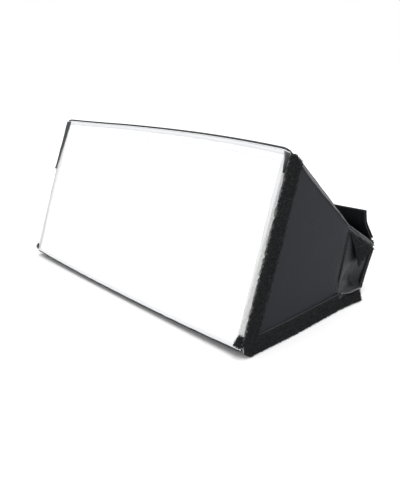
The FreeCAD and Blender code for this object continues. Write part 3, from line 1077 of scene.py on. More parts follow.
@dataclass
class SlopingPanel(Assembly):
    """The top or bottom panel: vinyl skin, stiffener, white lining, front edge and stitches.

    The top bows up and the bottom sags a little between their stiff ends.
    """

    edge: Edge = Edge.TOP
    unevenness: float = 0.35
    shoulder: float = 7.0
    shoulder_drop: float = 1.4
    end_wrap: float = 0.08
    wrap_back: float = 7.0
    wrap_down: float = 0.9
    edge_setback: float = 0.7

    @property
    def way(self) -> int:
        """The sign of the way out."""
        return self.edge.value[0]

    def line(self, across: Array, depth: Array, inset: float) -> Array:
        """Height of the panel at an inset from its outer face.

        The sloping line, plus the bow or sag, plus a slight unevenness that dies out at every
        edge, less a quadratic drop over the shoulders at the two ends.
        """
        wedge = self.wedge
        if self.edge is Edge.TOP:
            height = wedge.upper(depth, inset) + wedge.bow * wedge.arch(across, depth)
        else:
            height = wedge.lower(depth, inset) - wedge.sag * wedge.arch(across, depth)
        calm = held(1 - (across / wedge.box_end) ** 6) * hump(depth / wedge.taper_depth)
        over = held((np.abs(across) - wedge.end(depth) + self.shoulder) / self.shoulder)
        rough = ripple(across, depth, 70.0, 11 + self.way) * self.unevenness * calm
        return height + rough - self.way * self.shoulder_drop * over**2 * (self.edge is Edge.TOP)

    def cut(self, inset: float, margin: float = 0.0) -> Cut:
        """One layer of the panel, at an inset from its outer face and in from its edges."""
        wedge = self.wedge
        reach = wedge.box_end - margin
        run = wedge.taper_depth - 2 * margin

        def surface(u: Array, v: Array) -> Array:
            """Across with u, back with v, at the panel's height."""
            depth = margin + v * run
            across = (2 * u - 1) * (wedge.end(depth, margin) if self.edge is Edge.TOP else reach)
            return wedge.place(across, depth, self.line(across, depth, inset))

        return Cut(surface, 2 * reach, run * wedge.stretch, self.way)

    def build(self) -> None:
        """Make the layers, the rolled front edge and the seams."""
        wedge, word = self.wedge, self.edge.value[1]
        skin = self.cut(0.0)
        cover = self.put(f"{word}_cover", skin.shell(wedge.skin, 3.0), Finish.COVER, word,
                         [f"{word}_skin"])
        stiff = self.cut(wedge.skin, wedge.board_inset)
        self.put(f"{word}_stiffener", stiff.shell(wedge.board, 6.0), Finish.BOARD, word,
                 [f"{word}_board"])
        under = self.cut(wedge.panel - wedge.lining)
        cloth = self.put(f"{word}_lining_cloth", under.shell(wedge.lining, 4.0), Finish.LINING, word,
                         [f"{word}_lining"])
        for piece, cut in ((cover, skin), (cloth, under)):
            cut.width * MM
        rows = skin.rows((0.015, 0.985), (0.035, 0.96), 20)
        rows += skin.rows((0.04, 0.955), (0.014, 0.986), 24, down=True)
        self.sew(f"{word}_stitches", rows, Finish.THREAD, word)
        inner = under.turned().rows((0.02, 0.98), (0.05, 0.95), 30, lift=0.4)
        self.sew(f"{word}_lining_stitches", inner, Finish.WHITE_THREAD, word)
        self.front_edge(word)

    def front_edge(self, word: str) -> None:
        """Roll the skin's edge over the front: an oval bead that follows the bow or sag.

        The top bead curls back and down over the shoulder at each end.  It is thin and set back
        at the left, and grows to its full size right of the middle.
        """
        wedge = self.wedge
        top = self.edge is Edge.TOP
        share = np.linspace(-1 - self.end_wrap, 1 + self.end_wrap, 141)
        turn = held(np.abs(share) - 1) / self.end_wrap * top
        full = held(share + 0.7)
        across = np.clip(share, -1, 1) * (wedge.box_end - 1.2) + np.sign(share) * 1.6 * np.sin(turn * 1.57)
        depth = 0.1 + self.wrap_back * turn**2
        height = self.line(across, 0 * across, 0.55 if top else 0.9)
        depth = depth + self.edge_setback * (1 - full) * top
        path = wedge.place(across, depth, height - (wedge.slope * depth + self.wrap_down * turn))
        if not top:
            path = path[np.abs(share) <= 1]
        run = np.arange(len(path)) * 2.2
        tall = 0.16 + 0.36 * full if top else 0.28
        tall = tall + 0.05 * ripple(run, 0 * run, 40.0, 5 + self.way)
        form = roll(path, [0.0, -1.0, 0.0], tall, 0.45, 10, 2.4)
        self.put(f"{word}_front_edge", form, Finish.EDGE, word, [f"{word}_front_binding"])
        if top:
            for side in Side:
                self.side_roll(side)

    def side_roll(self, side: Side) -> None:
        """Roll the skin's edge down one slanted side: an oval bead along the panel's end."""
        wedge = self.wedge
        depth = np.linspace(5.0, wedge.taper_depth + 0.8, 70)
        across = side.value * (wedge.end(depth) + 0.35)
        height = wedge.upper(depth, 0.35) - 0.9 + 0.15 * ripple(depth, depth, 22.0, 3)
        path = wedge.place(across, depth, height)
        form = roll(path, side.out, 0.95, 0.6, 10, 2.4)
        self.put(f"{side.word}_top_edge_roll", form, Finish.FLAP, "top", [f"{side.word}_top_edge_binding"])


@dataclass
class Diffuser(Assembly):
    """The white diffuser: stretched cloth, rolled hems, hook tape at its ends and corner tabs."""

    roll: float = 1.5
    bulge: float = 1.1
    pull: float = 2.4
    fringe: tuple[float, float] = (4.0, 1.6)
    fold_arm: float = 9.0
    fold_inset: float = 4.0
    fold_length: float = 20.0
    hook_length: float = 134.0
    fringe_length: float = 124.0

    def low(self, across: Array) -> Array:
        """Height of the cloth's lower edge, which sags with the bottom panel."""
        wedge = self.wedge
        back = wedge.cloth_setback + wedge.cloth
        return wedge.lower(back, wedge.panel) - 1.4 - wedge.sag * wedge.arch(across, 0 * across)

    def high(self, across: Array) -> Array:
        """Height of the cloth's upper edge, which bows with the top panel."""
        wedge = self.wedge
        back = wedge.cloth_setback + wedge.cloth
        return wedge.upper(back, wedge.panel) + wedge.bow * wedge.arch(across, 0 * across)

    def ends(self, v: Array) -> tuple[Array, Array]:
        """How far across the two ends of the cloth are, at a share of its height.

        The left end is drawn in by a rounded hump in its upper half, and the right end by less.
        """
        reach = self.wedge.box_end
        hump = np.exp(-(((v - 0.78) / 0.24) ** 2))
        return -reach + self.pull * hump, reach - 0.3 * self.pull * hump

    def spot(self, u: Array, v: Array, raise_by: Array | float = 0.0) -> Array:
        """A point on the cloth's front, at shares of its width and height.

        It stands forward between its edges by the product of two half waves, each flattened,
        with faint tension ripples that run in from the hems.
        """
        left, right = self.ends(v)
        across = left + (right - left) * u
        low, high = self.low(across), self.high(across)
        inside = hump(u, 0.5) * hump(v, 0.6)
        near = np.exp(-np.minimum(v, 1 - v) / 0.12) + np.exp(-np.minimum(u, 1 - u) / 0.05)
        pucker = ripple(across, 3 * v, 9.0, 41) * near * 0.10 + ripple(across, v * 140, 90.0, 42) * 0.2
        depth = self.wedge.cloth_setback - self.bulge * inside - pucker * inside - raise_by
        return self.wedge.place(across, depth, low + (high - low) * v)

    def band(self, u: Array, v: Array, half_width: float, half_thickness: float, lie: float,
             seed: int) -> Form:
        """A folded hem along a line of u and v places: a flat oval that swells and pinches.

        Args:
            u: The line's places along u.
            v: The line's places along v.
            half_width: Half the width, in millimetres.
            half_thickness: Half the thickness, in millimetres.
            lie: How far its middle stands in front of the cloth, in millimetres.
            seed: Seed of the unevenness.

        Returns:
            The closed form.
        """
        path = self.spot(u, v, lie)
        out = unit(self.wedge.place(0, -1, 0) - self.wedge.place(0, 0, 0))
        run = np.linspace(0, 1, len(path)) * np.linalg.norm(np.diff(path, axis=0), axis=1).sum() / MM
        swell = 1 + 0.10 * ripple(run, 0 * run, 16.0, seed) + 0.06 * ripple(run, 0 * run, 5.0, seed + 1)
        return roll(path, out, half_width * swell, half_thickness * swell, 12, 2.6)

    def build(self) -> None:
        """Make the cloth, its hems and seams, and both ends."""
        wedge = self.wedge
        reach = wedge.box_end
        tall = float(self.high(np.zeros(1))[0] - self.low(np.zeros(1))[0])
        sheet = Cut(self.spot, 2 * reach, tall - 2, 1)
        cloth = self.put("diffuser_sheet", sheet.shell(wedge.cloth, 3.0), Finish.DIFFUSER,
                         "diffuser", ["diffuser_cloth"])
        span, rise = np.linspace(0.004, 0.996, 110), np.linspace(0.03, 0.97, 70)
        share = 1 / tall
        for word, start, way in (("top", 1.0, -1), ("bottom", 0.0, 1)):
            line = np.full_like(span, start + way * (self.roll + 0.1) * share)
            self.put(
                f"diffuser_roll_{word}", self.band(span, line, self.roll, 0.55, 0.15, 50 + way),
                Finish.ROLL, "diffuser", [f"diffuser_hem_{word}"])
            line = np.full_like(span, start + way * (2 * self.roll + wedge.hem_width / 2) * share)
            self.put(
                f"diffuser_band_{word}", self.band(span, line, wedge.hem_width / 2, 0.28, 0.1, 54 + way),
                Finish.HEM, "diffuser")
        for side in Side:
            middle = 0.5 + side.value * (0.5 - wedge.hem_width / 4 / reach)
            line = np.full_like(rise, middle)
            self.put(
                f"{side.word}_diffuser_band", self.band(line, rise, wedge.hem_width / 2, 0.3, 0.12, 60),
                Finish.ROLL, "diffuser", [f"{side.word}_diffuser_hem"])
            self.end(side)
        inset = (2 * self.roll + wedge.hem_width - 1) * share
        side_inset = (wedge.hem_width - 1) / 2 / reach
        rows = sheet.rows((0.02, 0.98), (1 - inset, inset), 70, lift=0.4)
        rows += sheet.rows((0.05, 0.95), (side_inset, 1 - side_inset), 72, lift=0.4, down=True)
        thread = self.sew("diffuser_stitches", rows, Finish.WHITE_THREAD, "diffuser")
        self.fold("top")
        self.fold("bottom")

    def fold(self, word: str) -> None:
        """Make the strip of lining cloth that hinges the diffuser inside a sloping panel.

        Its section is a quarter turn: along the panel's lining, round the corner and along the
        back of the diffuser.
        """
        wedge = self.wedge
        top = word == "top"
        way = -1 if top else 1
        back = wedge.cloth_setback + wedge.cloth
        line = wedge.upper if top else wedge.lower
        swing = self.high if top else self.low
        reach = wedge.box_end - self.fold_inset

        def surface(u: Array, v: Array) -> Array:
            """Across with u; v runs from the panel's lining to the diffuser's back."""
            across = (2 * u - 1) * reach
            turn = held((v - 0.4) / 0.2) * math.pi / 2
            depth = back + 1.6 + self.fold_arm * held(1 - v / 0.4) - 1.4 * np.sin(turn)
            step = 1.4 * (1 - np.cos(turn)) + self.fold_arm * held((v - 0.6) / 0.4)
            corner = swing(across) + (line(depth, 0.0) - line(back, 0.0)) * held(1 - v / 0.4)
            return wedge.place(across, depth, corner + way * (0.7 + step))

        cut = Cut(surface, 2 * reach, self.fold_length, way)
        start = wedge.place(0, back + 2.5, line(0, wedge.panel) + way * 0.5)
        end = wedge.place(0, back, line(0, wedge.panel) + way * 4.0)
        bodies = ("top", "diffuser") if top else ("diffuser", "bottom")
        hinge = (start, end) if top else (end, start)
        piece = self.put(f"diffuser_fold_{word}", cut.shell(0.35, 4.0), Finish.LINING, bodies[0],
                         onto=bodies[1], hinge=hinge)
        cut.width * MM

    def end(self, side: Side) -> None:
        """Make the hook tape, the frayed strip beside it and the two corner tabs of one end."""
        wedge, sign = self.wedge, side.value
        reach = wedge.box_end
        back = wedge.cloth_setback + wedge.cloth

        def returned(u: Array, v: Array) -> Array:
            """Depth with u and height with v, on the outside of the folded end."""
            depth = back + 0.3 + u * (wedge.tape_width - 0.3)
            low, high = wedge.lower(depth, wedge.panel + 0.3), wedge.upper(depth, wedge.panel + 0.3)
            return wedge.place(sign * (reach - 0.7), depth, low + v * (high - low))

        hooks = Cut(returned, wedge.tape_width, self.hook_length, sign)
        self.tape(f"{side.word}_diffuser_hooks", hooks, True, "diffuser",
                  [f"{side.word}_diffuser_hook_return"], white=True,
                  thickness=0.45, height=0.55, spacing=1.1, seed=80 + sign)

        def frayed(u: Array, v: Array) -> Array:
            """Across with u and up with v; the strip narrows from its foot to its head."""
            foot, head = self.fringe
            wide = foot + (head - foot) * v
            across = sign * (reach - wide * (1 - u) + 0.2)
            low, high = self.low(across), self.high(across)
            height = low + 3.0 + (high - low - 14.0) * v
            return wedge.place(across, wedge.cloth_setback - 0.55 - 0.25 * np.sin(math.pi * u), height)

        self.tape(f"{side.word}_frayed_strip", Cut(frayed, 5.0, self.fringe_length, sign), True,
                  "diffuser", white=True, thickness=0.35, height=0.8, spacing=0.8, seed=90 + sign, rag=0.9)
        self.top_tab(side)
        self.bottom_tab(side)

    def top_tab(self, side: Side) -> None:
        """Make the vinyl tab folded over the upper corner, with a slanting ridge down it.

        The tab stands forward by a tent shape about a ridge that leans outward as it goes down.
        On the left it is a long narrow wedge.
        """
        wedge, sign = self.wedge, side.value
        reach = wedge.box_end
        wide, tall, foot, lap = (5.6, 14.0, 0.25, 0.9) if side is Side.RIGHT else (8.0, 50.0, 0.06, 0.0)

        def surface(u: Array, v: Array) -> Array:
            """Outward with u and up with v."""
            across = sign * (reach + lap - wide * (1 - u) * (foot + (1 - foot) * v))
            ridge = 0.30 + 0.45 * v
            tent = 1 - np.abs(u - ridge) / np.where(u < ridge, ridge, 1 - ridge)
            depth = -0.75 - 1.9 * tent ** 0.8 - 0.25 * ripple(u * 9, v * 13, 6.0, 7)
            height = self.high(across) - 1.1 - tall * (1 - v) + 0.8 * (1 - u) * v
            return wedge.place(across, depth, height)

        self.put(f"{side.word}_folded_tab", Cut(surface, wide, tall, sign).shell(0.55, 0.8), Finish.TAB,
                 "diffuser", [f"{side.word}_corner_tab_top"], crease=28.0)

    def bottom_tab(self, side: Side) -> None:
        """Make the lump of loop tape that wraps the lower corner.

        It stands forward by a dome and is cut slantwise at its inner edge.
        """
        wedge, sign = self.wedge, side.value
        wide, tall = (7.2, 8.0) if side is Side.RIGHT else (2.2, 5.0)

        def surface(u: Array, v: Array) -> Array:
            """Outward with u and up with v."""
            across = sign * (wedge.box_end + 1.2 - wide * (1 - u) * (1 - 0.45 * v))
            dome = hump(u, 0.6) * hump(v, 0.6)
            return wedge.place(across, -0.9 - 1.6 * dome, self.low(across) + 1.7 + tall * v)

        self.tape(f"{side.word}_corner_loops", Cut(surface, wide, tall, sign), False, "diffuser",
                  [f"{side.word}_corner_tab_bottom"],
                  thickness=0.6, height=1.0, spacing=0.7, seed=100 + sign)


@dataclass
class SidePanel(Assembly):
    """One end of the box: skin, board and lining, loop strips, glossy binding and stitches."""

    side: Side = Side.RIGHT
    swell: float = 0.5
    valley: float = 1.7
    flare: float = 1.0
    lap: float = 1.9
    mean_height: float = 105.0
    sheet_length: float = 142.0
    sheet_area: float = 0.0109
    tape_proud: float = 0.55
    foot_share: float = 0.12
    lap_rise: float = 1.5
    lap_head: float = 1.4
    lap_foot: float = 2.6
    corner_cut: float = 4.5

    def out(self, depth: Array, share: Array, level: float) -> Array:
        """How far across a face of the panel is.

        The level, leaned by the twist, plus a low crown, less a soft valley where the board ends,
        plus a flare at the upper front corner that dies out backwards and downwards.
        """
        wedge = self.wedge
        level = level + wedge.twist(depth, share)
        crown = self.swell * hump(share, 0.7)
        fold = self.valley * np.exp(-(((depth - wedge.taper_depth - 0.6) / 4.2) ** 2))
        fold = fold * held(share * 4 - 0.6)
        flare = self.flare * np.exp(-np.clip(depth, 0, None) / 16) * held(share) ** 2.2
        return self.side.value * (level + crown - fold + flare)

    def face(self, level: float, margin: float = 0.0) -> Cut:
        """One layer of the panel at a distance across, in from its outline by a margin."""
        wedge = self.wedge
        front, back = wedge.side_setback + margin, wedge.taper_depth + wedge.side_setback - margin

        def surface(u: Array, v: Array) -> Array:
            """Back with u, and up with v from the foot to the slanted edge."""
            depth = front + u * (back - front)
            low = wedge.foot(depth) + margin
            high = wedge.upper(depth, wedge.side_top + margin) - 2.2 * np.exp((front - depth) / 3.0)
            return wedge.place(self.out(depth, v, level), depth, low + v * (high - low))

        return Cut(surface, back - front, self.mean_height, self.side.value)

    def front_strip(self) -> Cut:
        """The loop strip down the front edge, which laps forward round the toe at its foot.

        The lap grows from the foot, again towards the head, and sharply at the toe.  The upper
        front corner is cut off by a curve that dies out backwards.
        """
        wedge = self.wedge

        def surface(u: Array, v: Array) -> Array:
            """Back with u and up with v."""
            lap = self.lap + self.lap_rise * held(2.5 * v) + self.lap_head * held((v - 0.5) / 0.45) ** 1.3
            lap = lap + self.lap_foot * np.exp(-held(v) / 0.05)
            depth = wedge.side_setback - lap + u * (wedge.tape_width - 4.6 + 0.75 * lap)
            low = wedge.foot(np.maximum(depth, wedge.side_setback))
            low = np.maximum(low, wedge.lower(depth, -wedge.strip_overhang)) + 0.9
            high = wedge.upper(depth, wedge.side_top + 0.4)
            high = high - self.corner_cut * np.exp(-(depth + 3.0) / 3.5)
            return wedge.place(self.out(depth, v, wedge.side_out + self.tape_proud), depth,
                               low + v * (high - low))

        return Cut(surface, wedge.tape_width, self.sheet_length, self.side.value)

    def bottom_strip(self) -> Cut:
        """The loop strip along the lower edge, which stands on the floor."""
        wedge = self.wedge
        start, end = wedge.tape_width - 5.0, wedge.taper_depth + wedge.side_setback

        def surface(u: Array, v: Array) -> Array:
            """Back with u and up with v."""
            depth = start + u * (end - start)
            low = wedge.lower(depth, 1.0 - wedge.strip_overhang)
            high = wedge.lower(depth, wedge.tape_width - 2.2 - wedge.strip_overhang)
            across = self.out(depth, v * self.foot_share, wedge.side_out + self.tape_proud)
            return wedge.place(across, depth, low + v * (high - low))

        return Cut(surface, (end - start) * wedge.stretch, wedge.tape_width, self.side.value)

    def line(self, depth: Array, height: Array, level: float, share: float, half_width: Array | float,
             half_thickness: Array | float, sides: int = 12) -> Form:
        """A bead on the panel's face along a line of depths and heights."""
        path = self.wedge.place(self.out(depth, share + 0 * depth, level), depth, height)
        return roll(path, self.side.out, half_width, half_thickness, sides, 2.3)

    def build(self) -> None:
        """Make the layers, the strips, the bindings and the seams."""
        wedge, word = self.wedge, self.side.word
        body = f"{word}_side"
        skin = self.face(wedge.side_out)
        cover = self.put(f"{word}_side_cover", skin.shell(wedge.skin, 1.6), Finish.COVER, body,
                         [f"{word}_side_skin"])
        stiff = self.face(wedge.side_out - wedge.skin, wedge.board_inset)
        self.put(f"{word}_side_stiffener", stiff.shell(wedge.board, 4.0), Finish.BOARD, body,
                 [f"{word}_side_board"])
        under = self.face(wedge.side_in + wedge.lining)
        cloth = self.put(f"{word}_side_lining_cloth", under.shell(wedge.lining, 3.0), Finish.LINING, body,
                         [f"{word}_side_lining"])
        self.tape(f"{word}_front_loops", self.front_strip(), False, body, [f"{word}_front_loop_strip"],
                  height=1.05, spacing=0.85, seed=120 + self.side.value, rag=0.7)
        self.tape(f"{word}_bottom_loops", self.bottom_strip(), False, body,
                  [f"{word}_bottom_loop_strip"],
                  height=0.95, spacing=0.9, seed=130 + self.side.value, rag=0.35)
        self.bindings(word, body, skin)

    def bindings(self, word: str, body: str, skin: Cut) -> None:
        """Make the glossy slanted binding, the pale line over the bottom strip and the stitches.

        The slanted binding is a flat oval whose width follows half a sine wave, so that it
        tapers to both ends.  That width follows the lit stripe along the rolled edge, and the
        binding's grey colour, lighter than the black vinyl, is partly painted highlight; the coat
        gives real gloss as well.
        """
        wedge = self.wedge
        depth = np.linspace(4.5, wedge.taper_depth + 1.2, 90)
        share = (depth - depth[0]) / (depth[-1] - depth[0])
        # Width shaped like the lit stripe; with the lighter binding colour it is partly painted highlight.
        lens = np.sin(math.pi * held(share * 1.15) ** 0.62) ** 1.5
        half = 0.28 + 0.85 * lens + 0.08 * ripple(depth, depth, 18.0, 3)
        height = wedge.upper(depth, wedge.side_top) - 0.9 - half
        self.put(f"{word}_slant_binding", self.line(depth, height, wedge.side_out + 0.1, 0.98, half, 0.6),
                 Finish.BINDING, body, [f"{word}_side_edge_binding"])
        depth = np.linspace(wedge.tape_width - 4.0, wedge.taper_depth + 1.0, 60)
        height = wedge.lower(depth, wedge.tape_width - wedge.strip_overhang - 1.8)
        welt = self.line(depth, height, wedge.side_out + 0.1, self.foot_share, 0.32, 0.45, 8)
        self.put(f"{word}_strip_welt", welt, Finish.EDGE, body)
        self.put(f"{word}_side_stitches", skin.seam([0.952, 0.952], [0.2, 0.93], 142, lift=0.1),
                 Finish.THREAD, body)
        front, low = self.front_strip(), self.bottom_strip()
        rows = [front.seam([at, at], [0.03, 0.97], 150, lift=0.25) for at in (0.09, 0.91)]
        rows += [low.seam([0.02, 0.98], [at, at], 152, lift=0.25) for at in (0.12, 0.88)]
        self.sew(f"{word}_strip_stitches", rows, Finish.THREAD, body)


@dataclass
class Gusset(Assembly):
    """The soft end of the collar: a pleated satin panel, its loop patch, rear band and foot."""

    side: Side = Side.RIGHT
    flat_share: float = 0.62
    pleat: float = 5.0
    pinch: float = 2.4
    splay: float = 3.4
    foot_out: float = 1.2
    panel_height: float = 52.0
    panel_slack: float = 1.25
    patch_drop: float = 21.0
    foot_height: float = 15.0
    band: float = 4.2

    @property
    def join(self) -> float:
        """Depth of the seam with the side panel."""
        return self.wedge.taper_depth + self.wedge.side_setback

    def heights(self, depth: Array) -> tuple[Array, Array]:
        """Heights of the lower and upper edges."""
        wedge = self.wedge
        low = wedge.lower(depth, 0.5)
        high = wedge.deck(depth, wedge.collar_sheet + 1.2)
        return low, high

    def rim_lean(self, v: Array) -> Array:
        """How far out the rear edge is: out with the rim at its head, and out again at its foot."""
        return self.wedge.rim_flare * np.clip(v * 1.6 - 0.6, -0.5, 1) + self.foot_out * (1 - v) ** 2

    def out(self, u: Array, v: Array) -> Array:
        """How far across the pleated panel is.

        It runs straight from the side panel's edge to the rear band.  A tent across u pushes a
        valley inwards, as deep as a smooth step down v; the valley slants back as it goes down,
        and the last of the panel swells out over the foot strip.  Ridges fan out from under the
        patch: sine waves of the angle about the patch's point.
        """
        wedge = self.wedge
        join = -wedge.draw_in * v + self.foot_out * (1 - v)
        rear = self.rim_lean(v) - 0.6
        base = join + (rear - join) * u
        down = held((self.flat_share - v) / (self.flat_share - 0.10))
        valley = 0.26 + 0.52 * down
        tent = held(1 - np.abs(u - valley) / np.where(u < valley, valley, 1 - valley))
        tent = tent - 0.10 * np.sin(2 * math.pi * tent) / math.pi
        step = down * down * (3 - 2 * down)
        step = held(step + 0.25 * held((0.8 - v) / 0.4))
        pinch = held((0.16 - v) / 0.16)
        swell = self.pinch * np.sin(math.pi * pinch * 0.8) * (1 - 0.5 * u)
        depth = self.pleat * tent * step * (1 - pinch) - swell
        angle = np.arctan2((u - 0.5) * 1.1, 0.72 - v)
        fan = np.sin(angle * 6.0 + 0.8) * 0.22 + np.abs(np.sin(angle * 3.5 + 2.2)) * 0.35
        calm = hump(u, 0.5)
        soft = ripple(u * 38, v * 50, 17.0, 9) * 0.25
        return self.side.value * (wedge.side_in + 0.5 + base - depth + (fan * step + soft) * calm)

    def panel(self) -> Cut:
        """The pleated panel."""
        wedge = self.wedge
        run = wedge.rear - 1.0 - self.join

        def surface(u: Array, v: Array) -> Array:
            """Back with u and up with v."""
            depth = self.join - 0.8 + u * (run + 0.8)
            low, high = self.heights(depth)
            return wedge.place(self.out(u, v), depth, low + v * (high - low))

        return Cut(surface, run * self.panel_slack, self.panel_height, self.side.value)

    def patch(self) -> Cut:
        """The three-cornered loop patch that hangs, point down, from the rim."""
        wedge = self.wedge
        run = wedge.rear - self.join

        def surface(u: Array, v: Array) -> Array:
            """Across the patch with u, narrowing as v goes down to the point."""
            depth = (self.join + wedge.rear) / 2 + (u - 0.5) * (run - 1.0) * np.clip(v, 0.03, 1.1)
            share = (depth - self.join) / run
            height = wedge.deck(depth, 5.0) - 0.3 * share - self.patch_drop * (1 - v)
            lean = (wedge.draw_in + wedge.rim_flare) * share * v + (1 - v) * 2.2 - wedge.draw_in * v
            across = wedge.side_in + 0.9 + lean + 0.35 * np.sin(math.pi * u) * v
            return wedge.place(self.side.value * across, depth, height)

        return Cut(surface, run - 1.0, self.patch_drop, self.side.value)

    def foot(self) -> Cut:
        """The loop strip that carries the lower edge back, splayed outwards at its rear."""
        wedge = self.wedge

        def surface(u: Array, v: Array) -> Array:
            """Back with u and up with v."""
            short = 3.8 + 4.6 * held(1 - v) ** 1.5
            depth = self.join - 0.3 + u * (wedge.rear - self.join + 0.3 - short)
            low = wedge.lower(depth, 1.0 - wedge.strip_overhang)
            high = wedge.lower(depth, 6.5 - 5.6 * held(u))
            lean = (wedge.splay + self.splay * held(u) ** 1.3) * np.clip(1 - v, 0, 1.1) ** 1.2
            across = wedge.side_out + 0.3 - 1.2 * u * v + lean
            return wedge.place(self.side.value * across, depth, low + v * (high - low))

        return Cut(surface, (wedge.rear - self.join) * wedge.stretch, self.foot_height, self.side.value)

    def build(self) -> None:
        """Make the pleated panel, patch, rear band, foot strip and its end tab."""
        wedge, word, sign = self.wedge, self.side.word, self.side.value
        body = f"{word}_side"
        cut = self.panel()
        cloth = self.put(f"{word}_pleated_end", cut.shell(0.5, 0.9), Finish.SATIN, body,
                         [f"{word}_gusset_front_fold", f"{word}_gusset_rear_fold"], crease=70.0)
        self.tape(f"{word}_loop_patch", self.patch(), False, body, [f"{word}_gusset_loop_patch"],
                  thickness=0.45, height=0.95, spacing=0.95, seed=160 + sign, rag=0.2)
        self.tape(f"{word}_foot_loops", self.foot(), False, body, [f"{word}_collar_foot_loop"],
                  thickness=0.6, height=0.95, spacing=0.85, seed=170 + sign, rag=0.3)

        def rear(u: Array, v: Array) -> Array:
            """Back with u and up with v, along the rear edge."""
            depth = wedge.rear - self.band + self.band * u
            low, high = self.heights(depth)
            across = sign * (wedge.side_in + 0.7 + self.rim_lean(v))
            return wedge.place(across, depth, low + (high - low - 3.0) * v)

        self.tape(f"{word}_rear_band", Cut(rear, self.band, wedge.mouth_height, sign), False, body,
                  [f"{word}_gusset_rear_band"],
                  thickness=1.0, height=0.45, spacing=0.9, seed=180 + sign, rag=0.12)

        def toe(u: Array, v: Array) -> Array:
            """Back with u and outwards with v, just above the floor."""
            depth = wedge.rear - 15.0 + 8.0 * u * (1 - 0.3 * v)
            lift = 0.9 + 0.7 * np.sin(math.pi * v) * u
            across = sign * (wedge.side_in + 1.0 + (wedge.splay + self.splay) * v)
            return wedge.place(across, depth, wedge.lower(depth, lift - wedge.strip_overhang))

        self.put(f"{word}_foot_tab", Cut(toe, 7.0, 10.0, -sign).shell(0.6, 0.8), Finish.EDGE, body)
        share = np.linspace(0.12, 0.98, 40)
        path = self.foot().surface(share, 1.04 + 0.03 * np.sin(9 * share)) + self.side.out * 0.9 * MM
        fold = bead(path, self.side.out, np.array([0, 0, 1.0]),
                    1.5 * np.sin(math.pi * share**0.7) + 0.3, 0.5 + 0.3 * share, 10)
        self.put(f"{word}_foot_fold", fold, Finish.BINDING, body)
        rows = cut.rows((0.1, 0.97), (0.03,), 190, lift=0.1, down=True)
        rows += self.patch().rows((0.06, 0.94), (0.9,), 191, lift=0.2)
        rows += self.foot().rows((0.03, 0.97), (0.85,), 192, lift=0.2)
        self.sew(f"{word}_end_stitches", rows, Finish.THREAD, body)


@dataclass
class Collar(Assembly):
    """The collar's upper and lower flaps, their rims and the grip tape inside."""

    droop: float = 1.6
    grip_margin: float = 6.0

    def flap(self, edge: Edge, inset: float, front: float, back: float, reach: float) -> Cut:
        """Part of a flap at an inset from its outer face.

        The flap's straight line, less a shallow droop across and back, with soft waves.
        """
        wedge = self.wedge
        top = edge is Edge.TOP

        def surface(u: Array, v: Array) -> Array:
            """Across with u and back with v."""
            depth = front + v * (back - front)
            across = (2 * u - 1) * (reach + (wedge.end(depth) - wedge.box_end) * (1 if top else 0))
            share = held((depth - wedge.taper_depth) / wedge.collar_depth)
            calm = (1 - np.abs(across / wedge.box_end) ** 3) * np.sin(share * math.pi / 2) ** 1.2
            wave = calm * (ripple(across, depth, 46.0, 15) * 0.9 - self.droop * (1 if top else -0.3))
            line = wedge.deck(depth, inset) if top else wedge.sill(depth, inset)
            return wedge.place(across, depth, line + wave)

        return Cut(surface, 2 * reach, back - front, edge.value[0])

    def build(self) -> None:
        """Make both flaps with their grips, stitches and rims."""
        wedge = self.wedge
        grip_end = wedge.rear - self.grip_margin
        for edge in Edge:
            word = edge.value[1]
            cut = self.flap(edge, 0.0, wedge.taper_depth, wedge.rear, wedge.box_end)
            cloth = self.put(f"collar_{word}_sheet", cut.shell(wedge.collar_sheet - 0.2, 2.5), Finish.FLAP,
                             word, [f"collar_{word}_flap"], crease=70.0)
            cut.width * MM
            rows = cut.rows((0.01, 0.99), (0.06, 0.87, 0.96), 200)
            self.sew(f"collar_{word}_stitches", rows, Finish.THREAD, word)
            grip = self.flap(edge, wedge.collar_sheet + 0.45, grip_end - wedge.tape_width, grip_end,
                             wedge.box_end - wedge.grip_inset)
            self.tape(f"collar_{word}_grip", grip.turned(), False, word, [f"collar_grip_{word}"],
                      thickness=0.45, height=1.0, spacing=1.5, seed=210)
        for side in Side:
            self.rims(side)

    def rims(self, side: Side) -> None:
        """Make the two rolled edges that run back along one end of the upper flap.

        Each is an oval bead that swells and pinches a little, one above the other.
        """
        wedge = self.wedge
        depth = np.linspace(wedge.taper_depth + 0.5, wedge.rear + 0.3, 50)
        forms = []
        for drop, half, seed in ((1.0, 1.15, 1), (3.0, 1.15, 2)):
            share = (depth - depth[0]) / (depth[-1] - depth[0])
            across = side.value * (wedge.end(depth) + 0.3 + 0.3 * ripple(depth, depth, 16.0, seed))
            height = wedge.deck(depth, drop) + 0.3 * ripple(depth, 0 * depth, 20.0, seed + 4)
            height = height - 1.2 * share + (drop - 1.0) * share**3
            path = wedge.place(across, depth, height)
            swell = half * (0.75 + 0.35 * np.sin(math.pi * share) + 0.08 * ripple(depth, depth, 9.0, seed))
            swell = swell * (1 - 0.5 * share**6)
            forms.append(roll(path, side.out, swell, swell * 0.85, 10))
        self.put(f"{side.word}_rolled_rim", forms[0].joined(forms[1]), Finish.EDGE, "top",
                 [f"{side.word}_collar_rim"])


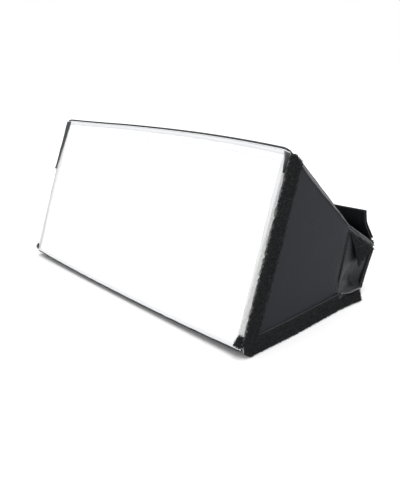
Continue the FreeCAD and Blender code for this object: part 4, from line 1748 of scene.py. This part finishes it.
@dataclass
class Tongue(Assembly):
    """The tongue that folds over a flash head: two soft sheets, hook strip, hems and hinge roll."""

    length: float = 30.0
    lean_root: float = 140.0
    lean_tip: float = 112.0
    hem: float = 6.0
    taper: float = 0.024
    waviness: float = 1.1
    grip_margin: float = 3.0
    half_gap: float = 0.75
    root: float = 1.6

    def leaf(self, along: Array, off: Array | float) -> tuple[Array, Array]:
        """Depth and height on the tongue, at a distance along it and off its middle.

        The angle from the depth axis keeps its root value, then turns to its tip value over a
        short bend; its cosine and sine are added up along the way.
        """
        wedge = self.wedge
        steps = np.linspace(-2, self.length + 2, 200)
        lean = np.interp(steps / self.length, [0.56, 0.74], [self.lean_root, self.lean_tip])
        lean = np.radians(lean)
        pace = steps[1] - steps[0]
        zero = np.searchsorted(steps, 0.0)
        run, rise = np.cumsum(np.cos(lean)) * pace, np.cumsum(np.sin(lean)) * pace
        run, rise = run - run[zero], rise - rise[zero]
        depth_at, height_at = np.interp(along, steps, run), np.interp(along, steps, rise)
        angle = np.interp(along, steps, lean)
        hinge = wedge.rear - 1.5
        depth = hinge + depth_at - off * np.sin(angle)
        return depth, wedge.deck(hinge) + 1.5 + height_at + off * np.cos(angle)

    def cut(self, start: float, end: float, off: float, near: float, far: float, facing: int) -> Cut:
        """Part of the tongue between two distances along it and two across it."""

        def surface(u: Array, v: Array) -> Array:
            """Across with u and along with v, with soft waves that grow to the tip."""
            across, along = near + u * (far - near), start + v * (end - start)
            tip = held(along / self.length)
            depth, height = self.leaf(along, off + ripple(across, along, 60.0, 33) * self.waviness * tip)
            return self.wedge.place(across * (1 - self.taper * tip), depth, height)

        return Cut(surface, far - near, end - start, facing)

    def build(self) -> None:
        """Make both sheets, the strip, the hems, the stitches and the roll at the hinge."""
        wedge = self.wedge
        reach = wedge.box_end + 0.6
        under = self.cut(self.root, self.length, self.half_gap, -reach, reach, -1)
        over = self.cut(self.root, self.length, -self.half_gap, -reach, reach, 1)
        skin = self.put("tongue_under_sheet", under.shell(0.7, 3.0), Finish.FLAP, "tongue",
                        ["tongue_skin"], crease=70.0)
        lining = self.put("tongue_over_sheet", over.shell(0.8, 3.0), Finish.FLAP, "tongue",
                          ["tongue_lining"], crease=70.0)
        grip_reach = wedge.box_end - wedge.grip_inset
        grip_end = self.length - self.grip_margin
        grip = self.cut(grip_end - wedge.tape_width, grip_end, 1.3, -grip_reach, grip_reach, -1)
        self.tape("tongue_hooks", grip, True, "tongue", ["tongue_hook_strip"],
                  thickness=0.45, height=0.8, spacing=1.5, seed=220)
        for side in Side:
            near, far = sorted((side.value * (reach - self.hem), side.value * reach))
            hem = self.cut(3.0, self.length, 1.2, near, far, -1)
            self.put(f"{side.word}_tongue_hem", hem.shell(0.4, 1.5), Finish.FLAP, "tongue",
                     [f"{side.word}_tongue_end_hem"])
        inset = (self.hem - 1.0) / (2 * reach)
        rows = over.rows((0.05, 0.96), (inset, 1 - inset), 230, down=True)
        rows += over.rows((0.01, 0.99), (0.955, 0.06), 232)
        self.sew("tongue_stitches", rows, Finish.THREAD, "tongue")
        across = np.linspace(-reach, reach, 90)
        hinge = wedge.rear - 1.0
        height = wedge.deck(hinge) + 0.55
        path = wedge.place(across, 0 * across + hinge, height + 0.2 * ripple(across, across, 40.0, 8))
        form = bead(path, np.array([0.0, 1.0, 0.0]), np.array([0.0, 0.0, 1.0]), 1.35, 1.0, 12, 2.2)
        start = wedge.place(0, hinge, height - 1.0)
        end = wedge.place(0, hinge - 0.6, height + 1.0)
        self.put("tongue_hinge_roll", form, Finish.FLAP, "top", onto="tongue", hinge=(start, end))


@dataclass
class SideHinge(Assembly):
    """The lining strip inside a slanted edge, on which a side panel swings out."""

    side: Side = Side.RIGHT
    arm: float = 8.0
    bend: tuple[float, float] = (0.42, 0.58)

    def build(self) -> None:
        """Make the strip: a quarter turn from the top panel's lining to the side panel's.

        The bend gives the shares of the strip's width between which it turns.
        """
        wedge, sign = self.wedge, self.side.value
        first, last = self.bend
        run = wedge.taper_depth - 10.0

        def surface(u: Array, v: Array) -> Array:
            """Back with u; v runs from under the top panel, round, and down the side panel."""
            depth = 6.0 + u * run
            corner = wedge.end(depth, 0.2)
            turn = held((v - first) / (last - first)) * math.pi / 2
            across = corner - 1.3 - self.arm * held(1 - v / first) + 1.3 * np.sin(turn)
            drop = 0.5 + 1.3 * (1 - np.cos(turn)) + self.arm * held((v - last) / (1 - last))
            shoulder = 1.4 * held((across - wedge.end(depth) + 7.0) / 7.0) ** 2
            shoulder = shoulder * held(1 - turn)
            height = wedge.upper(depth, wedge.panel + drop) - shoulder
            return wedge.place(sign * across, depth, height)

        cut = Cut(surface, run * wedge.stretch, 2 * self.arm + 2, -sign)
        middle = wedge.taper_depth / 2
        corner = float(wedge.end(middle, 0.2))
        high = wedge.upper(middle, wedge.panel + 0.5)
        start = wedge.place(sign * (corner - 1.6), middle, high)
        end = wedge.place(sign * corner, middle, high - 4.0)
        piece = self.put(f"{self.side.word}_side_fold", cut.shell(0.35, 2.0), Finish.LINING, "top",
                         onto=f"{self.side.word}_side", hinge=(start, end))
        cut.width * MM
        f"{self.side.word}_side_lining_cloth"


# ----------------------------------------
# Floor, light and camera
# ----------------------------------------


@dataclass(frozen=True)
class Lamp:
    """A large soft lamp that faces a point on the object."""

    name: str
    place: tuple[float, float, float]
    target: tuple[float, float, float]
    width: float
    height: float
    watts: float

    def light(self) -> None:
        """Hang the lamp."""
        data = bpy.data.lights.new(self.name, "AREA")
        data.shape = "RECTANGLE"
        data.size, data.size_y, data.energy = self.width, self.height, self.watts
        lamp = bpy.data.objects.new(self.name, data)
        lamp.location = self.place
        lamp.rotation_euler = (Vector(self.target) - Vector(self.place)).to_track_quat("-Z", "Y").to_euler()
        bpy.context.scene.collection.objects.link(lamp)


@dataclass(frozen=True)
class Studio:
    """A pale paper floor under soft light, and the camera."""

    floor_reach: float = 6.0
    sky: float = 1.0
    noon: float = 1.3
    noon_spread: float = 35.0
    noon_tip: tuple[float, float] = (6.0, 14.0)
    camera_place: tuple[float, float, float] = (0.38514, -0.31752, 0.20063)
    pitch: float = 19.725
    turn: float = 48.791
    roll: float = -2.221
    lens: float = 38.27

    def build(self) -> None:
        """Lay the floor, light it and set the camera."""
        self.floor()
        world = bpy.data.worlds.new("soft_sky")
        world.use_nodes = True
        world.node_tree.nodes["Background"].inputs[0].default_value = (1.0, 1.0, 1.0, 1.0)
        world.node_tree.nodes["Background"].inputs[1].default_value = self.sky
        bpy.context.scene.world = world
        bpy.context.scene.view_settings.view_transform = "Standard"
        middle = (0.0, 0.0, 0.06)
        Lamp("key", (0.9, -0.1, 1.0), middle, width=0.7, height=0.7, watts=1.2).light()
        Lamp("rear", (0.5, 0.9, 0.9), middle, width=0.5, height=0.5, watts=1.4).light()
        noon = bpy.data.lights.new("noon", "SUN")
        noon.energy, noon.angle = self.noon, math.radians(self.noon_spread)
        sun = bpy.data.objects.new("noon", noon)
        sun.rotation_euler = (*(math.radians(angle) for angle in self.noon_tip), 0)
        bpy.context.scene.collection.objects.link(sun)
        self.camera()

    def floor(self) -> None:
        """A round floor: rings of points whose radius grows with the square of their share."""
        rings, around = 12, 64
        share = np.linspace(0.02, 1, rings) ** 2
        angle = np.linspace(0, 2 * math.pi, around, endpoint=False)
        radius = self.floor_reach * share[:, None]
        level = np.zeros((rings, around))
        points = np.stack([radius * np.cos(angle), radius * np.sin(angle), level], axis=-1).reshape(-1, 3)
        points = np.concatenate([points, [[0.0, 0.0, 0.0]]])
        spoke = np.arange(around)
        middle = np.stack([np.full(around, len(points) - 1), spoke, (spoke + 1) % around], axis=-1)
        quads = ring_faces(rings, around)[:, ::-1]
        flat = points[:, :2] / MM
        form = Form(points, quads, middle, flat, np.full(len(points), 100.0))
        floor = form.build("floor")
        floor.data.materials.append(Paper("white_paper", (0.9, 0.9, 0.9), (0.87, 0.87, 0.87)).make())

    def camera(self) -> None:
        """Set the camera from its place, its pitch below level, its turn and its roll."""
        pitch, turn, roll = (math.radians(angle) for angle in (self.pitch, self.turn, self.roll))
        right = Vector((math.cos(turn), math.sin(turn), 0))
        ahead = Vector((-math.sin(turn) * math.cos(pitch), math.cos(turn) * math.cos(pitch),
                        -math.sin(pitch)))
        down = ahead.cross(right)
        across = right * math.cos(roll) - down * math.sin(roll)
        below = right * math.sin(roll) + down * math.cos(roll)
        axes = Matrix((across, -below, -ahead)).transposed().to_4x4()
        data = bpy.data.cameras.new("camera")
        data.lens, data.sensor_width, data.sensor_fit = self.lens, 36.0, "AUTO"
        data.clip_start, data.clip_end = 0.01, 50.0
        camera = bpy.data.objects.new("camera", data)
        camera.matrix_world = Matrix.Translation(self.camera_place) @ axes
        bpy.context.scene.collection.objects.link(camera)
        bpy.context.scene.camera = camera


def main() -> None:
    """Build the studio and every sub-assembly."""
    logging.basicConfig(level=logging.INFO, format="%(message)s")
    Studio().build()
    for assembly in (
        SlopingPanel(edge=Edge.TOP),
        SlopingPanel(edge=Edge.BOTTOM, unevenness=0.2),
        Diffuser(),
        SidePanel(side=Side.RIGHT),
        SidePanel(side=Side.LEFT, flare=0.0, lap=-3.6),
        Gusset(side=Side.RIGHT),
        Gusset(side=Side.LEFT),
        Collar(),
        Tongue(),
        SideHinge(side=Side.RIGHT),
        SideHinge(side=Side.LEFT),
    ):
        LOG.info("building %s", type(assembly).__name__)
        assembly.build()


if __name__ == "__main__":
    main()
